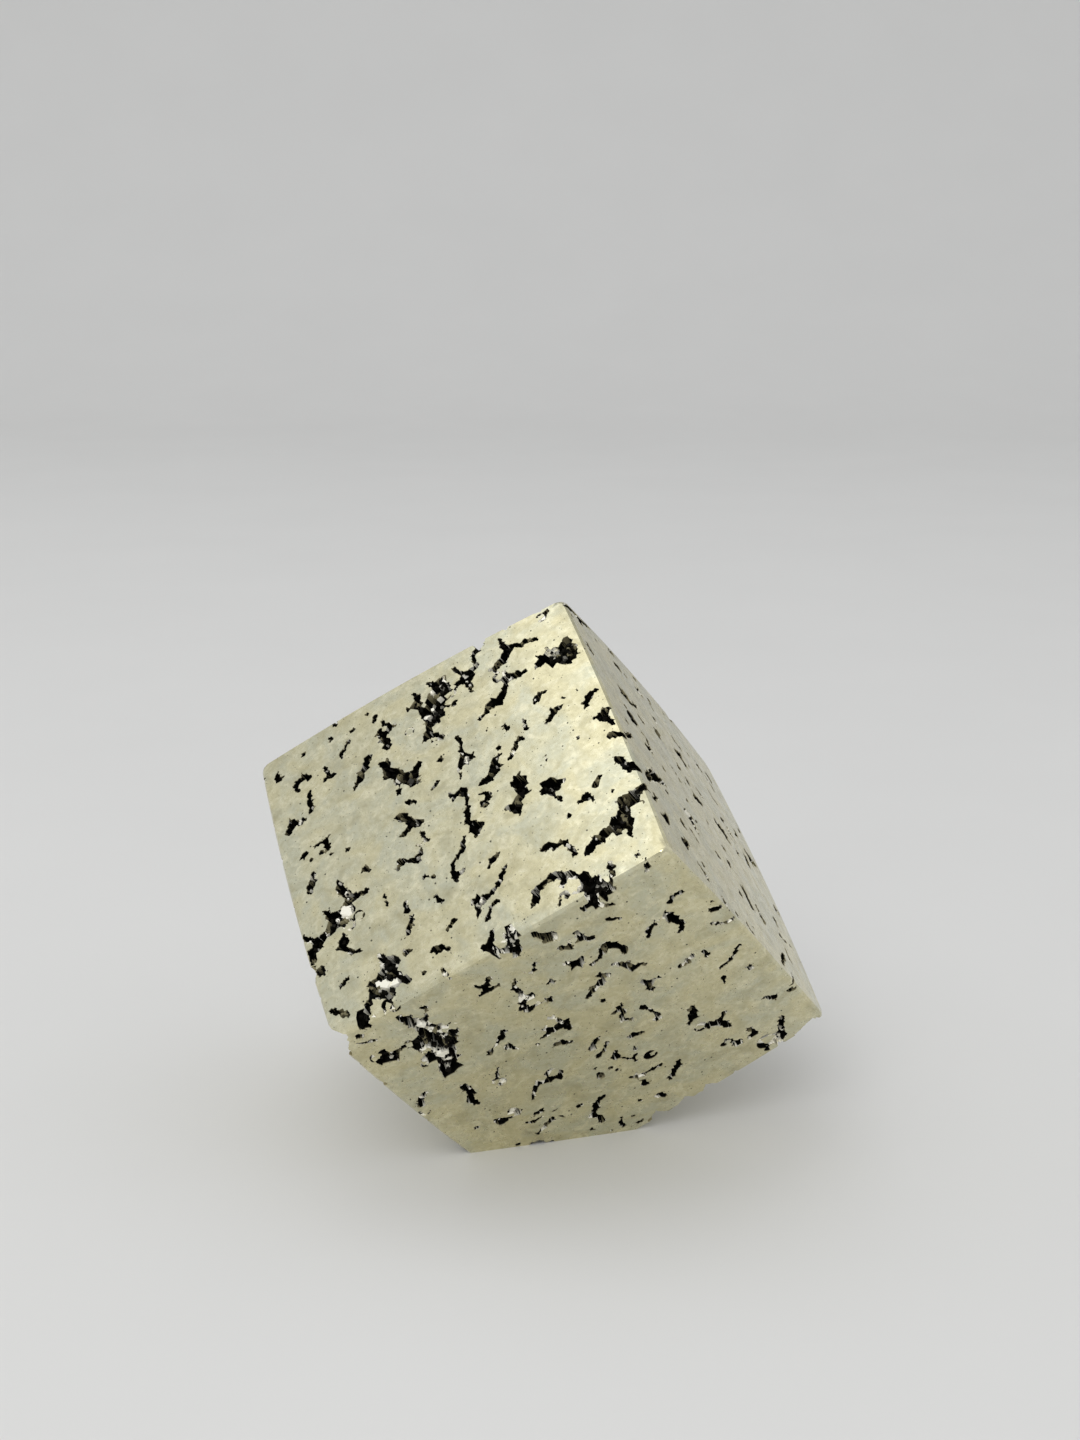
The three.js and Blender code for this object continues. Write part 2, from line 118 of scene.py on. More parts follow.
# The vugs of each face on its ruler, each a chain of places: (u, v, half width).
VUGS: dict[Face, list[Chain]] = {
    Face.UPPER_LEFT: [
        [(1.5, 39.2, .8), (1.8, 37.2, 1.3), (3, 38.4, 1.3), (4.6, 38.2, 1.5), (6.3, 38.2, .6)],
        [(2.3, 35.8, .5)], [(5.8, 39.4, .5)],
        [(5.2, 42.6, .35), (6.3, 43.3, .4), (7.8, 43.4, .5), (9.4, 43.4, 1), (10.6, 42.2, .9),
         (12.3, 41.6, .5)],
        [(9.4, 43.4, .9), (9.6, 44.3, .6), (10, 46.3, .2)],
        [(11.2, 39, .8), (9.6, 38.4, .6), (8.4, 38.3, .4)],
        [(11.4, 38.1, .5), (12, 36.9, .6), (13.3, 36, 1), (14.6, 35.9, .5), (15.4, 35.1, .3),
         (16.7, 34.6, .35)],
        [(12.3, 48.5, .8), (13, 47, .6), (13.8, 46.3, .5), (14.5, 45.2, .3), (14.3, 44.2, .4),
         (15.4, 43.4, .4), (16.4, 43, .8), (17.7, 42.7, .5)],
        [(16.3, 42, .6), (16.2, 40.2, .35)], [(16.9, 44.3, .4), (17.5, 45.7, .3)],
        [(19.5, 45, .5), (20.6, 44.8, .8), (21.6, 45.6, .35)], [(20.3, 43.4, 1.2), (22, 42.6, .9)],
        [(20.3, 42.2, .9)], [(24.3, 43.2, 1), (23.5, 44.5, .4), (24.3, 45.4, .2)],
        [(24, 41.8, .6), (23.2, 40.6, .7), (21.5, 40.4, 1)],
        [(21.3, 39.2, .6), (22.3, 38.6, .5), (23.3, 38.8, .7), (23.8, 37.7, .6), (24.8, 36.5, .4)],
        [(22.6, 35.6, .6), (22.3, 34.8, .25)],
        [(29.6, 43.6, .5), (29.2, 42.2, .9), (30.6, 42.3, .6), (30.4, 41, .6), (30, 39.4, .6)],
        [(33.2, 39.2, .6), (33.9, 38.2, .6), (34.8, 37.3, .7), (35.4, 36.5, .5), (36.3, 35.5, .3)],
        [(27.2, 32.8, .8), (28.2, 31.7, 1.1), (29.3, 32.6, 1), (30.2, 33.9, 1), (31, 35.4, .9),
         (31.2, 36.6, .6), (31.8, 37.1, .3)],
        [(31.7, 34.4, .5)], [(28.4, 30.4, .3)], [(30.5, 30.8, .5)], [(36.4, 48.8, .5)],
        [(31.5, 46.7, .4)], [(34.3, 45.5, .4)], [(35.2, 44, .4)], [(42.4, 46.8, .35)],
        [(47, 46.3, .4), (46.9, 45.2, .6)],
        [(42.4, 42.2, .5), (43.4, 42.9, .6), (44.6, 42.3, .5), (44.5, 41.3, .4)],
        [(39.7, 42.2, .3), (39.5, 40.9, .3)], [(38.5, 39.9, .25), (39.5, 40.3, .4), (40.2, 40, .3)],
        [(42.9, 39.5, .35), (43.2, 38.2, .4), (42.8, 36.8, .4), (43.6, 36.3, .3)],
        [(45, 35.7, .5), (46.1, 36.1, .5), (47.2, 35.3, .7)],
        [(20.3, 33.9, .4), (20.1, 32.7, .3), (20.5, 31.2, .35), (20.3, 30.1, .8), (19.3, 29.5, .5)],
        [(20.2, 29, .4), (21.3, 29.4, .4), (21.6, 28, .25), (21.8, 27, .15)], [(23.6, 32, .45)],
        [(6.8, 33.2, .25), (7.7, 33.3, .35), (8.6, 32.5, .4)], [(13.9, 31.4, .35), (13.4, 30.5, .35)],
        [(11.1, 30.2, .4)], [(16.3, 32.2, .2)], [(3, 30.6, .2)], [(5.1, 30.5, .25)],
        [(5.6, 29.4, .25), (6.7, 29.3, .6), (7.7, 28.5, .4), (8.3, 28.1, .3)],
        [(.6, 28.9, .35), (1.8, 28.6, .4), (2.5, 27.7, .5), (3, 27, .25)],
        [(12.2, 27.9, .4), (13.2, 27.6, .4), (13.9, 26.6, .3), (14.8, 25.6, .25)],
        [(15.9, 27.2, .35), (16.8, 26.8, .6), (17.2, 25.3, 1), (18.1, 24.5, .6), (19.3, 24.5, .45)],
        [(24.1, 25.6, .3), (23.4, 24.9, .6), (22.3, 25, .6), (21.9, 23.8, .35), (22, 22.8, .25),
         (22.5, 21.5, .5), (22.9, 20, .6)],
        [(21.3, 18.4, .5), (22.3, 18.5, 1), (22.3, 17.3, .4)], [(28.7, 27.6, .3), (29.9, 28.2, .4)],
        [(31.7, 26.8, .45), (30.7, 26, .5), (30.3, 24.8, .7), (29.2, 24, .7)],
        [(.5, 25, .5), (1.3, 24.4, .8), (2.2, 24.6, .3)], [(.7, 23.2, .5), (.5, 22.2, .3)],
        [(1.6, 20.5, .5), (.7, 20.3, .6), (0, 20.1, .4), (-.6, 19.3, .4)],
        [(14.6, 21.9, .8), (15, 20.6, .8), (14.7, 19.8, .9), (15.8, 18.6, .8), (16.2, 17.6, .8)],
        [(15.8, 18.6, .7), (17.4, 18.5, .5)],
        [(9.3, 17.9, .4), (10.3, 18.5, .7), (11.4, 18.8, .7), (12.2, 17.8, .4)], [(10.2, 17.2, .3)],
        [(20.3, 21.6, .35), (20, 20.8, .45)], [(28.8, 20.6, .3)],
        [(30.1, 19.7, .35), (31, 18.6, .5), (32.3, 19.3, .35), (33.4, 19.8, .6), (34, 19.2, .4)],
        [(37.9, 21.5, .45)],
        [(38.9, 18.6, .4), (40.3, 18.7, .5), (41.6, 18.8, .8), (41.9, 20.4, .8), (42.5, 21.5, .6),
         (42.4, 22.8, .25)],
        [(41.6, 18.8, .8), (43.5, 16.8, .9)], [(43.5, 16.8, .9), (44.6, 17.6, 1), (45.2, 19, .5)],
        [(43.5, 16.8, .8), (45.4, 16.1, .9), (46.8, 15.5, .7), (48.2, 16, .5), (49.3, 17, .5)],
        [(47.9, 14.5, .7), (48.9, 14.5, .6), (49, 12.9, .4)],
        [(44, 13.9, .5), (44.4, 12.6, .8), (43.9, 11.3, .4)], [(48.3, 10.7, .6)],
        [(24.3, 17.5, .5), (24.9, 16.4, .35), (25.8, 15.7, .3), (26.7, 15.2, .25), (27.1, 13.8, .5),
         (26.9, 12.8, .5), (25.6, 13.3, .35)],
        [(36.8, 16.4, .25), (36.8, 14.8, .3)], [(4.8, 15.4, .4), (5.4, 14.8, .5)],
        [(1.8, 16.6, .5), (1.3, 15.5, .6), (.9, 14.6, .6), (.2, 14.2, .6), (-.8, 13.3, .5),
         (-1.7, 12.3, .5)],
        [(6.5, 12.6, .3), (7.2, 13.7, .45), (8.4, 13.5, .3)], [(3.8, 12.3, .4)], [(10.2, 12.4, .35)],
        [(-1.3, 11.3, .8), (.2, 10.4, .6), (1.6, 10, 1), (3.2, 10.3, .8), (3.3, 8.9, 1.1),
         (4.3, 7.3, 1.2), (5.7, 7.2, 1), (7.2, 7, .9), (8.6, 6.5, .6), (9.7, 5.7, .4)],
        [(3.7, 5.5, .4), (3.7, 4.4, .2)],
        [(20.3, 10.3, .3), (21.3, 9.4, .35), (22.3, 8.3, .35), (23.6, 7.6, .35), (25.5, 7.9, .8),
         (25.4, 6.6, .25), (26, 5.4, .2)],
        [(14.9, 9.8, .35), (13.6, 9.5, .6), (12, 9, .35), (11.5, 7.8, .35), (11.3, 6.6, .45)],
        [(20.5, 12.8, .25), (21.5, 12.3, .5), (22.4, 11.6, .25)], [(29.8, 10.7, .35), (30.4, 11.9, .3)],
        [(34.6, 12.2, .35)], [(34.3, 10.6, .4), (35.1, 9.3, .4), (35.8, 8.6, .3)],
        [(29.1, 7, .5), (30.2, 6.4, .3)], [(36.3, 6.5, .5)],
        [(33.1, 4.8, .4), (32, 4.3, .6), (31.1, 3.5, .3)], [(45.2, 7.5, .4), (46.1, 7.1, .5)],
        [(40.1, 8.2, .3), (39.5, 7, .7), (39.3, 5.7, 1.2), (40.7, 4.7, 1.2), (42.1, 4.6, .9),
         (41.9, 3.4, .9)],
        [(40.4, 3.4, 1.2), (38.7, 3.5, .8), (37.5, 2.5, .6)], [(40, 1.8, .5)], [(41, -.8, .8)],
        [(43.6, 2.4, .5), (44.3, 1, .7), (45.3, -.2, .6)],
        [(46.8, 2.7, .5), (47.8, 3.6, .45), (48.8, 4.4, .4)],
        [(7.7, 2.2, .6), (8.8, .9, .7), (9, 0, .7)], [(11.3, 2.7, .8), (11.1, 1, 1.1), (11.3, -1, 1)],
        [(12.2, 3.2, .7), (13.1, 4.1, .8), (14.6, 5.2, .6), (16.2, 5, .4), (17.8, 4.6, .6),
         (18.1, 3.3, .6), (19, 2.7, .2)],
        [(14.8, 2.4, .2), (15.5, .9, .2)], [(25, 2.5, .4), (25.1, 1.3, .7), (26.4, 1, .6)],
        [(22.6, .6, .6), (23.3, -.7, 1.2)], [(25.2, -.6, .8)], [(32.7, 1.3, .2), (32.5, .4, .35)],
        [(35.2, 2.3, .35)], [(3.2, .4, .2), (3.4, -.7, .35)], [(2.3, 46.6, .4)],
        [(-.9, 43, .4), (-1.3, 41, .3)], [(42.5, 29.5, .4)], [(46.2, 29.9, .55)], [(45.2, 28.5, .4)],
        [(42.2, 27.4, .35)], [(39.8, 26.6, .5)], [(45.5, 26.2, .35), (45.9, 25, .6), (46.6, 23.8, .5)],
    ],
    Face.FRONT: [
        [(41.4, 16.2, 1.5), (40.3, 14.4, 1.3), (39.3, 12.6, 1.2), (38.3, 11, 1.1), (36.8, 10.2, .5)],
        [(39.3, 11, 1.3), (39.4, 9, 1.7), (39.2, 7.2, 1.5), (39.9, 5.2, 1), (40.6, 3.6, .8),
         (41, 2.2, .4)],
        [(41.3, 9, 1.2), (42.3, 8.3, .7)], [(41.6, 12.4, 1.1), (41.4, 10.6, .9)],
        [(44, 7.8, .4), (45.2, 8, .9), (46.1, 8.1, 1.1), (46.2, 7, .9)], [(45.4, 9.4, .5)],
        [(46.2, 18.4, .4), (47.3, 19.2, .4), (48, 20.3, .6)],
        [(42.3, 26.2, .4), (42.8, 25, .6), (41.7, 23, .7), (41.9, 21.2, .5)], [(38.3, 24.1, .4)],
        [(31.4, 29.7, .6), (30.9, 28.7, .5)],
        [(30.9, 28.7, .5), (32.5, 29.5, .5), (34, 29, .6), (34.9, 28.9, .35), (35.8, 30.2, .3),
         (36.6, 31.5, .2)],
        [(39.5, 32.3, .6)], [(42.2, 32.6, .7), (42.6, 31.8, .5)], [(45.2, 31.1, .4)],
        [(40.2, 39.6, .2), (38.5, 38.6, .3), (37, 37.8, .5)], [(34.1, 44.9, .4)],
        [(32.1, 44.2, .6), (32, 42.8, .4), (32.5, 41.7, .5), (31.5, 40.7, .6), (30.8, 39.6, .5),
         (29.4, 39, .4)],
        [(32.8, 38.1, .5)], [(22.9, 46.4, .4), (23.5, 45.2, .45)],
        [(20.4, 42.8, .5), (19, 41.7, .5), (17.9, 40.4, .4)], [(23.6, 41.3, .6)],
        [(23.4, 38.7, .7), (22.2, 38.9, .3), (20, 38.9, .3)], [(28.4, 49, .5)], [(28.4, 46.9, .3)],
        [(32.2, 47.6, .25)], [(29.8, 45.9, .3)],
        [(5.7, 50.6, .5), (4.7, 48.2, .9), (4.1, 46.5, .6), (3.5, 45.2, .6), (2.9, 44, .4)],
        [(7.3, 49.1, .4)], [(10, 43.7, .7), (10.5, 42.9, .4)],
        [(9.4, 39, .5), (9.7, 37.8, .6), (10.7, 36.8, .8), (9.2, 36.4, .3), (8.6, 35.6, .4)],
        [(13.3, 33.8, .4), (12.3, 32.6, .8), (11.8, 31, .5)],
        [(16.2, 29.3, .4), (15.7, 28.5, .6), (15.7, 27.4, .3), (15.9, 26.2, .2), (16.4, 25.2, .5)],
        [(25.4, 27.5, .6), (24.6, 26.8, .45), (23.8, 26.2, .25)], [(18.9, 30, .4), (20.2, 29.6, .5)],
        [(22.7, 34.1, .2), (23.2, 33.2, .35)], [(25.5, 33.7, .35)], [(25.4, 30.1, .35)],
        [(13.8, 22.6, .5), (13.5, 21.4, .8), (12.4, 21.2, .5)], [(13.5, 21.4, .8), (14, 20.5, .5)],
        [(9, 21.7, .35), (7.9, 21.4, .5), (6.9, 20.9, .4)], [(5.3, 22.4, .35), (5.3, 21.3, .35)],
        [(18.5, 23.8, .35), (19.2, 23, .5), (18.4, 22.4, .4)], [(20, 23.2, .35)],
        [(25.6, 21.3, .5), (25.7, 20, 1), (28, 18.9, .4)], [(25.7, 20, 1), (26.6, 17.5, .6)],
        [(28.6, 22.9, .5)], [(30.4, 20.9, .3)], [(19.8, 19.8, .4)], [(32.8, 19.6, .3), (33.3, 18.4, .5)],
        [(36, 17.6, .4), (35, 17, .2), (33.3, 16, .35), (32.3, 15.1, .5)],
        [(12.4, 17.1, .4), (13.7, 16.8, .7), (14.2, 15.5, .6), (15, 14.3, .5)],
        [(17, 15.5, .4), (17.6, 14.5, .4)], [(18.3, 16.2, .6), (19.7, 16.6, .7), (21, 17.3, .3)],
        [(13.2, 13.3, .35), (13.1, 12, .5), (13.7, 10.6, .9), (15.2, 10.5, .6), (16, 11.6, .25),
         (17.6, 11.9, .3)],
        [(17.8, 9.8, .4), (19, 10.3, .9), (19.6, 9.3, .5)],
        [(5.8, 15, .4), (5.2, 14.2, .4), (5.4, 12.8, .6), (5.6, 11.6, .6), (5.7, 10.5, .4)],
        [(7.5, 11.2, .5), (8.8, 11.5, .4), (9.4, 12.7, .4)],
        [(2.5, 8.5, .35), (3.4, 8.2, .35), (4.6, 9, .35)], [(10.6, 6.8, .25), (11.8, 5.8, .3)],
        [(15.3, 7.3, .5), (16.1, 6.3, .7), (16.1, 4.9, .4)], [(18, 7, .4), (19.1, 6, .4)],
        [(24.8, 14, .5)],
        [(26.5, 13.4, .4), (27.6, 13.8, .4), (28, 12.5, .6), (27.3, 10.8, .5), (26.8, 9.4, .4),
         (27.2, 8.4, .5), (26.3, 7, .25)],
        [(23, 11, .5)], [(23.6, 7.2, .5)], [(22.9, 6.2, .5)],
        [(28.8, 4.4, .4), (29.2, 5.2, .35), (30.4, 5, .2), (30.6, 4.2, .2)],
        [(19.3, 3.2, .9), (20.1, 2.2, .5), (20.2, 1, .35)],
        [(10.1, 3.9, .25), (11.2, 2.9, .6), (11.7, 1.8, .8), (11, .2, .9)],
        [(9, .9, .7), (8.5, -.5, .6)], [(13, 1.7, .6)], [(23.7, 2.8, .6), (23.4, 1.2, 1), (22.7, 0, .8)],
        [(24.8, 1.2, .6), (25.8, -.2, .6)], [(3.9, 1.4, .35), (3.3, .5, .3)],
        [(6.1, 29.9, .2), (5.5, 28.5, .35)], [(2, 29.6, .5)],
        [(5, 26.3, .3), (3.5, 26, .25), (2.6, 25.3, .25), (1.3, 24.2, .35)], [(-.3, 39.2, .6)],
        [(2.1, 38.6, .6), (3.1, 37.6, .35)], [(0, 18.6, .4), (1.2, 18.2, .3), (2.2, 17.1, .3)],
        [(0, 15.1, .4), (1.2, 14.5, .4)], [(.3, 13.2, .3)], [(40.5, 42.8, .8), (41.6, 41.4, .6)],
        [(43.2, 39.6, .35)], [(32.4, .6, .25)], [(46.8, 1.6, .5)], [(45.3, .2, .8), (43.5, -1, .7)],
    ],
    Face.RIGHT: [
        [(9.4, 34.6, 1.3)], [(12, 34.5, .5), (13.4, 35.3, .3)], [(18.5, 33.8, .9)], [(7.8, 28.5, 1)],
        [(6.8, 30.5, .4)], [(26.2, 35, 1), (27.6, 36, .5)], [(27.6, 34.1, .7)], [(20.8, 38.1, .6)],
        [(12.8, 43.3, .8)], [(15.4, 43.4, .4)], [(19.5, 42.9, .8)], [(13.2, 46.8, .7)],
        [(7.4, 44.8, .4)], [(20.8, 46.9, .5)], [(33.6, 48.4, .9)], [(37.7, 41.1, .9)], [(42.6, 42.4, 1)],
        [(22.3, 29.5, .7)], [(4.2, 25.5, .4)], [(10.3, 24.4, .6)], [(13, 22.7, .5)],
        [(24.4, 25.2, .9), (26.4, 25.3, .5)], [(30.6, 24.8, .6), (33, 24.2, .9)], [(36.4, 22.8, .6)],
        [(37.5, 27.5, .7)], [(40.9, 23.4, 1), (41.5, 25.5, .6)], [(44.6, 27, 1.2), (46.5, 27.3, .7)],
        [(18.3, 20.5, .5)], [(15.9, 15.2, 1.2), (16.6, 13.4, .5)], [(10.8, 11.5, .7)],
        [(22.6, 13.4, .7)], [(27.4, 14.8, .7)], [(28, 18, .5)], [(29.8, 11.2, .9), (30.2, 9, .8)],
        [(26.8, 9, .6)], [(33.9, 9, .8)], [(42.6, 13.6, .8)], [(8.2, 6, 1), (9.2, 7, .5)],
        [(3.7, 7.3, .9), (4.8, 8.5, .5)],
        [(9.5, 17.8, .6), (7, 17, 1.1), (4.5, 15.5, .8), (2.8, 14.2, .6)], [(.5, 11, .5)],
        [(9.4, 15.8, .5)], [(3.6, 45.2, .6)], [(.5, 44.5, .4)], [(3.5, 22.2, .4), (1, 20.6, .4)],
        [(.4, 46.3, .5), (1.9, 46.6, .6), (3.6, 46.4, .6), (5.2, 46.6, .5), (6.8, 46.9, .4)],
        [(35.3, 1.8, .4), (36.9, 3.6, .6), (38.5, 5, .4)], [(20, 1.3, .5)], [(12.8, 5.3, .5)],
        [(12.6, 3.3, .5)], [(47.5, 18.4, .8)], [(46, 11, .4)],
    ],
    Face.UNDER_RIGHT: [
        [(8, 9, 1.2), (10.2, 10.4, 1), (11.6, 12.2, .7)], [(22, 6.5, .9), (24.1, 6, 1)],
        [(37.5, 12, 1.3), (39, 14.2, .8)], [(15.5, 21, 1), (17.2, 22.3, .8)],
        [(29, 19.5, 1.4), (31.2, 20.8, 1), (31.8, 23, .6)], [(43, 26.5, 1)],
        [(6.5, 27.5, .9), (7.3, 29.2, .7)], [(23, 30.5, .9)], [(36, 33, 1.2), (34.3, 34.4, .9)],
        [(44.5, 39.5, 1), (43, 41, .7)], [(31.5, 44.5, 1)],
    ],
    Face.BACK_TOP: [
        [(7, 8.5, 1), (9, 9.4, .9), (10.2, 11.2, .7)], [(19.5, 12.5, 1.3), (21.6, 13.6, 1)],
        [(33, 7.5, .9), (34.8, 8.2, .7)], [(43, 14, 1.2), (42, 16.2, .8)], [(11.5, 22.5, 1)],
        [(25, 23, .9), (26.2, 24.8, 1.2), (26, 27, .7)], [(38, 26.5, 1.4), (40.2, 27.4, 1)],
        [(6.5, 33.5, 1), (8.2, 34.8, .8)], [(19, 36, 1.3), (17.6, 38, .9)], [(31.5, 38.5, 1)],
        [(43.5, 40, 1.2), (41.8, 41.8, .8)], [(25.5, 45.5, .9)],
    ],
    Face.UNDER_LEFT: [
        [(9, 7.5, 1.1), (11, 8.6, .9)], [(23.5, 9.5, 1.3), (25.5, 11, 1), (25.8, 13.2, .7)],
        [(38.5, 7, .9)], [(42.5, 18, 1.1), (44, 19.8, .8)], [(14, 19.5, 1), (12.6, 21.2, .8)],
        [(30, 22.5, 1.1)], [(7.5, 30.5, .9)], [(20, 30, 1.3), (22.2, 31, 1)],
        [(36.5, 32.5, 1), (35.2, 34.4, .7)], [(27.5, 40.5, 1.1)],
        [(42, 43, 1.2), (43.6, 41.4, .8)],
    ],
}

# The part of a face's grains that are painted bright, as painted highlights: as usual, and where a face's
# differs.
USUAL_BRIGHT_SHARE = 0.13
BRIGHT_SHARES = {Face.FRONT: 0.34}

# How many small vugs are scattered over a face and the widest's half width: as usual, and on the faces
# whose vugs are listed closely.
USUAL_STRAYS = (58, 0.8)
STRAYS = {Face.UPPER_LEFT: (26, 0.46), Face.FRONT: (26, 0.46), Face.RIGHT: (44, 0.5)}

# Shallow patches of crystals on each face, most of them painted bright as painted highlights: (u, v, half
# width).
GLINT_PATCHES: dict[Face, list[Place]] = {
    Face.UPPER_LEFT: [
        (11.3, 40.9, .6), (12, 39.8, .7), (19, 41.8, .6), (23.4, 36, .6), (26.4, 39.4, .5),
        (29.6, 43, .5), (16.6, 25.6, .3), (29.5, 20.9, .4), (42.2, 17.6, .9), (41, 15.6, .6),
        (42.7, 15.1, .7), (34.3, 13.2, .4), (34.2, 11.5, .3), (39.3, 3.5, .5), (40.4, 4, .5),
        (41.4, 4.1, .4), (41.2, .8, .6), (41.3, -.3, .6),
        (8.6, 1.2, .9), (13.4, 2.6, 1.2), (24.3, .8, .8), (3.3, 46, .6),
    ],
    Face.FRONT: [
        (40.3, 13, .6), (41, 11.7, .6), (42, 10.8, .6), (43.2, 13, .5), (36.7, 9.2, .6),
        (37.1, 7.6, .6), (38, 9.2, .4), (39.6, 6, .5), (42.7, 7.9, .6), (39, 14.6, .4),
        (47.2, 7, .7), (40.4, .2, .6),
        (48.4, 22.2, .6), (37.8, 24.3, .6), (31.9, 28.2, .8), (34, 28.4, .4), (40.6, 32.4, .5),
        (39.8, 31.5, .5), (35.7, 35.7, .5), (23.4, 39.7, .5), (6.6, 47.3, 1.2), (11.6, 42.3, .4),
        (12.4, 35.8, .7), (20.2, 35.6, .7), (26.8, 18.6, .8), (6.8, 11.4, .6), (17.2, 6.1, .5),
        (25.6, 13.3, .4), (26.8, 11.3, .8), (24.2, 6.6, .4),
    ],
    Face.RIGHT: [
        (36, 25.3, .5), (38, 26.5, .6), (40, 27.8, .5),
    ],
}

# Places where a piece has broken off an edge or a corner, each a rough block that is missing: its middle's
# u and v, its half sizes along u, along v and into the face, and its turn in degrees.
BREAKS: dict[Face, list[tuple[float, ...]]] = {
    Face.UPPER_LEFT: [
        (50.3, 11.4, 1.3, 1.1, 1.8, 18), (50.2, 7.2, .6, .5, 1.4, 45), (50.4, 23, .8, .6, 1.6, 45),
        (50.2, 31.6, .8, .7, 1.8, 40), (50, 37.6, .6, .6, 1.2, 15), (12.6, 48.9, 1.5, 1.5, 2.2, 43),
        (8.3, 48.6, 1, 1, 1.7, 48), (3.4, 48.1, .8, .8, 1.6, 20), (4.7, 48.4, .6, .6, 1.4, 50),
        (1.2, 48, .5, .4, .7, 35), (20.9, 48.8, .4, .4, .8, 30), (31.5, 49.2, .5, .4, .8, 45),
    ],
    Face.FRONT: [
        (25.6, 50.6, 1.3, 1.6, 2.2, 36), (23.6, 51, 1.6, .9, 1.9, 4), (21, 50.6, 1.1, 1.3, 1.7, 38),
        (17.3, 50.5, 1.1, 1.2, 2.1, 50), (18.9, 51, 1.5, 1, 1.8, 4), (13, 50.7, .8, .8, 1.4, 40),
        (9.2, 50.8, .6, .7, 1.1, 30), (.8, 50.4, 2, 1.6, 2.1, 22), (-1.4, 51, 1.1, 2, 2, 40),
        (3.2, 50.7, .8, .5, .9, 10), (49.6, 12.4, .5, .7, .7, 30), (49.8, 24.3, .6, .7, .8, 45),
        (33, 51.1, .6, .5, .8, 45), (39, 51.3, .5, .4, .7, 20),
    ],
    Face.RIGHT: [
        (50.2, 22.5, .9, 1.3, 1, 30), (50.4, 9, .6, .6, .7, 45), (50.1, 31.4, .7, .8, .8, 40),
        (49.6, 40.2, .6, .5, .7, 30),
    ],
}

# The corner that has come off, as an upright block: its middle, its half sizes and its turn in degrees.
LOST_CORNER = ((-27.9, -29.0, 24.0), (5.0, 9.0, 2.0), -8.0)

# Which sides of a cell the rim of a vug links, for each set of its corners that is inside. The corners
# count 1, 2, 4 and 8, in order round the cell.
CELL_LINKS = {
    1: [(0, 3)], 2: [(1, 0)], 3: [(1, 3)], 4: [(2, 1)], 5: [(0, 3), (2, 1)], 6: [(2, 0)], 7: [(2, 3)],
    8: [(3, 2)], 9: [(0, 2)], 10: [(1, 0), (3, 2)], 11: [(1, 2)], 12: [(3, 1)], 13: [(0, 1)], 14: [(3, 0)],
}


def meet(a: "Plane", b: "Plane", c: "Plane") -> np.ndarray:
    """Find the point where three planes meet.

    Args:
        a: The first plane.
        b: The second plane.
        c: The third plane.

    Returns:
        The point, in millimetres.
    """
    normals = np.array([a.normal, b.normal, c.normal])
    return np.linalg.solve(normals, np.array([a.offset, b.offset, c.offset]))


@dataclass(frozen=True)
class Plane:
    """A flat side of the stone: the way out of it and how far out it stands."""

    normal: np.ndarray
    offset: float

    def height(self, points: np.ndarray) -> np.ndarray:
        """Give how far each point stands outside the plane.

        Args:
            points: Points as rows.

        Returns:
            One height for each point, negative inside the stone.
        """
        return points @ self.normal - self.offset


@dataclass(frozen=True)
class Ruler:
    """A face's own ruler: u and v along the face from one corner, and the way out of it."""

    start: np.ndarray
    u: np.ndarray
    v: np.ndarray
    out: np.ndarray

    def place(self, uv: np.ndarray) -> np.ndarray:
        """Turn places on the ruler into points on the flat face.

        Args:
            uv: Rows of u and v.

        Returns:
            The points as rows.
        """
        return self.start + uv[:, :1] * self.u + uv[:, 1:2] * self.v

    def read(self, points: np.ndarray) -> np.ndarray:
        """Turn points into places on the ruler.

        Args:
            points: Points as rows.

        Returns:
            Rows of u and v.
        """
        away = points - self.start
        return np.stack([away @ self.u, away @ self.v], axis=1)


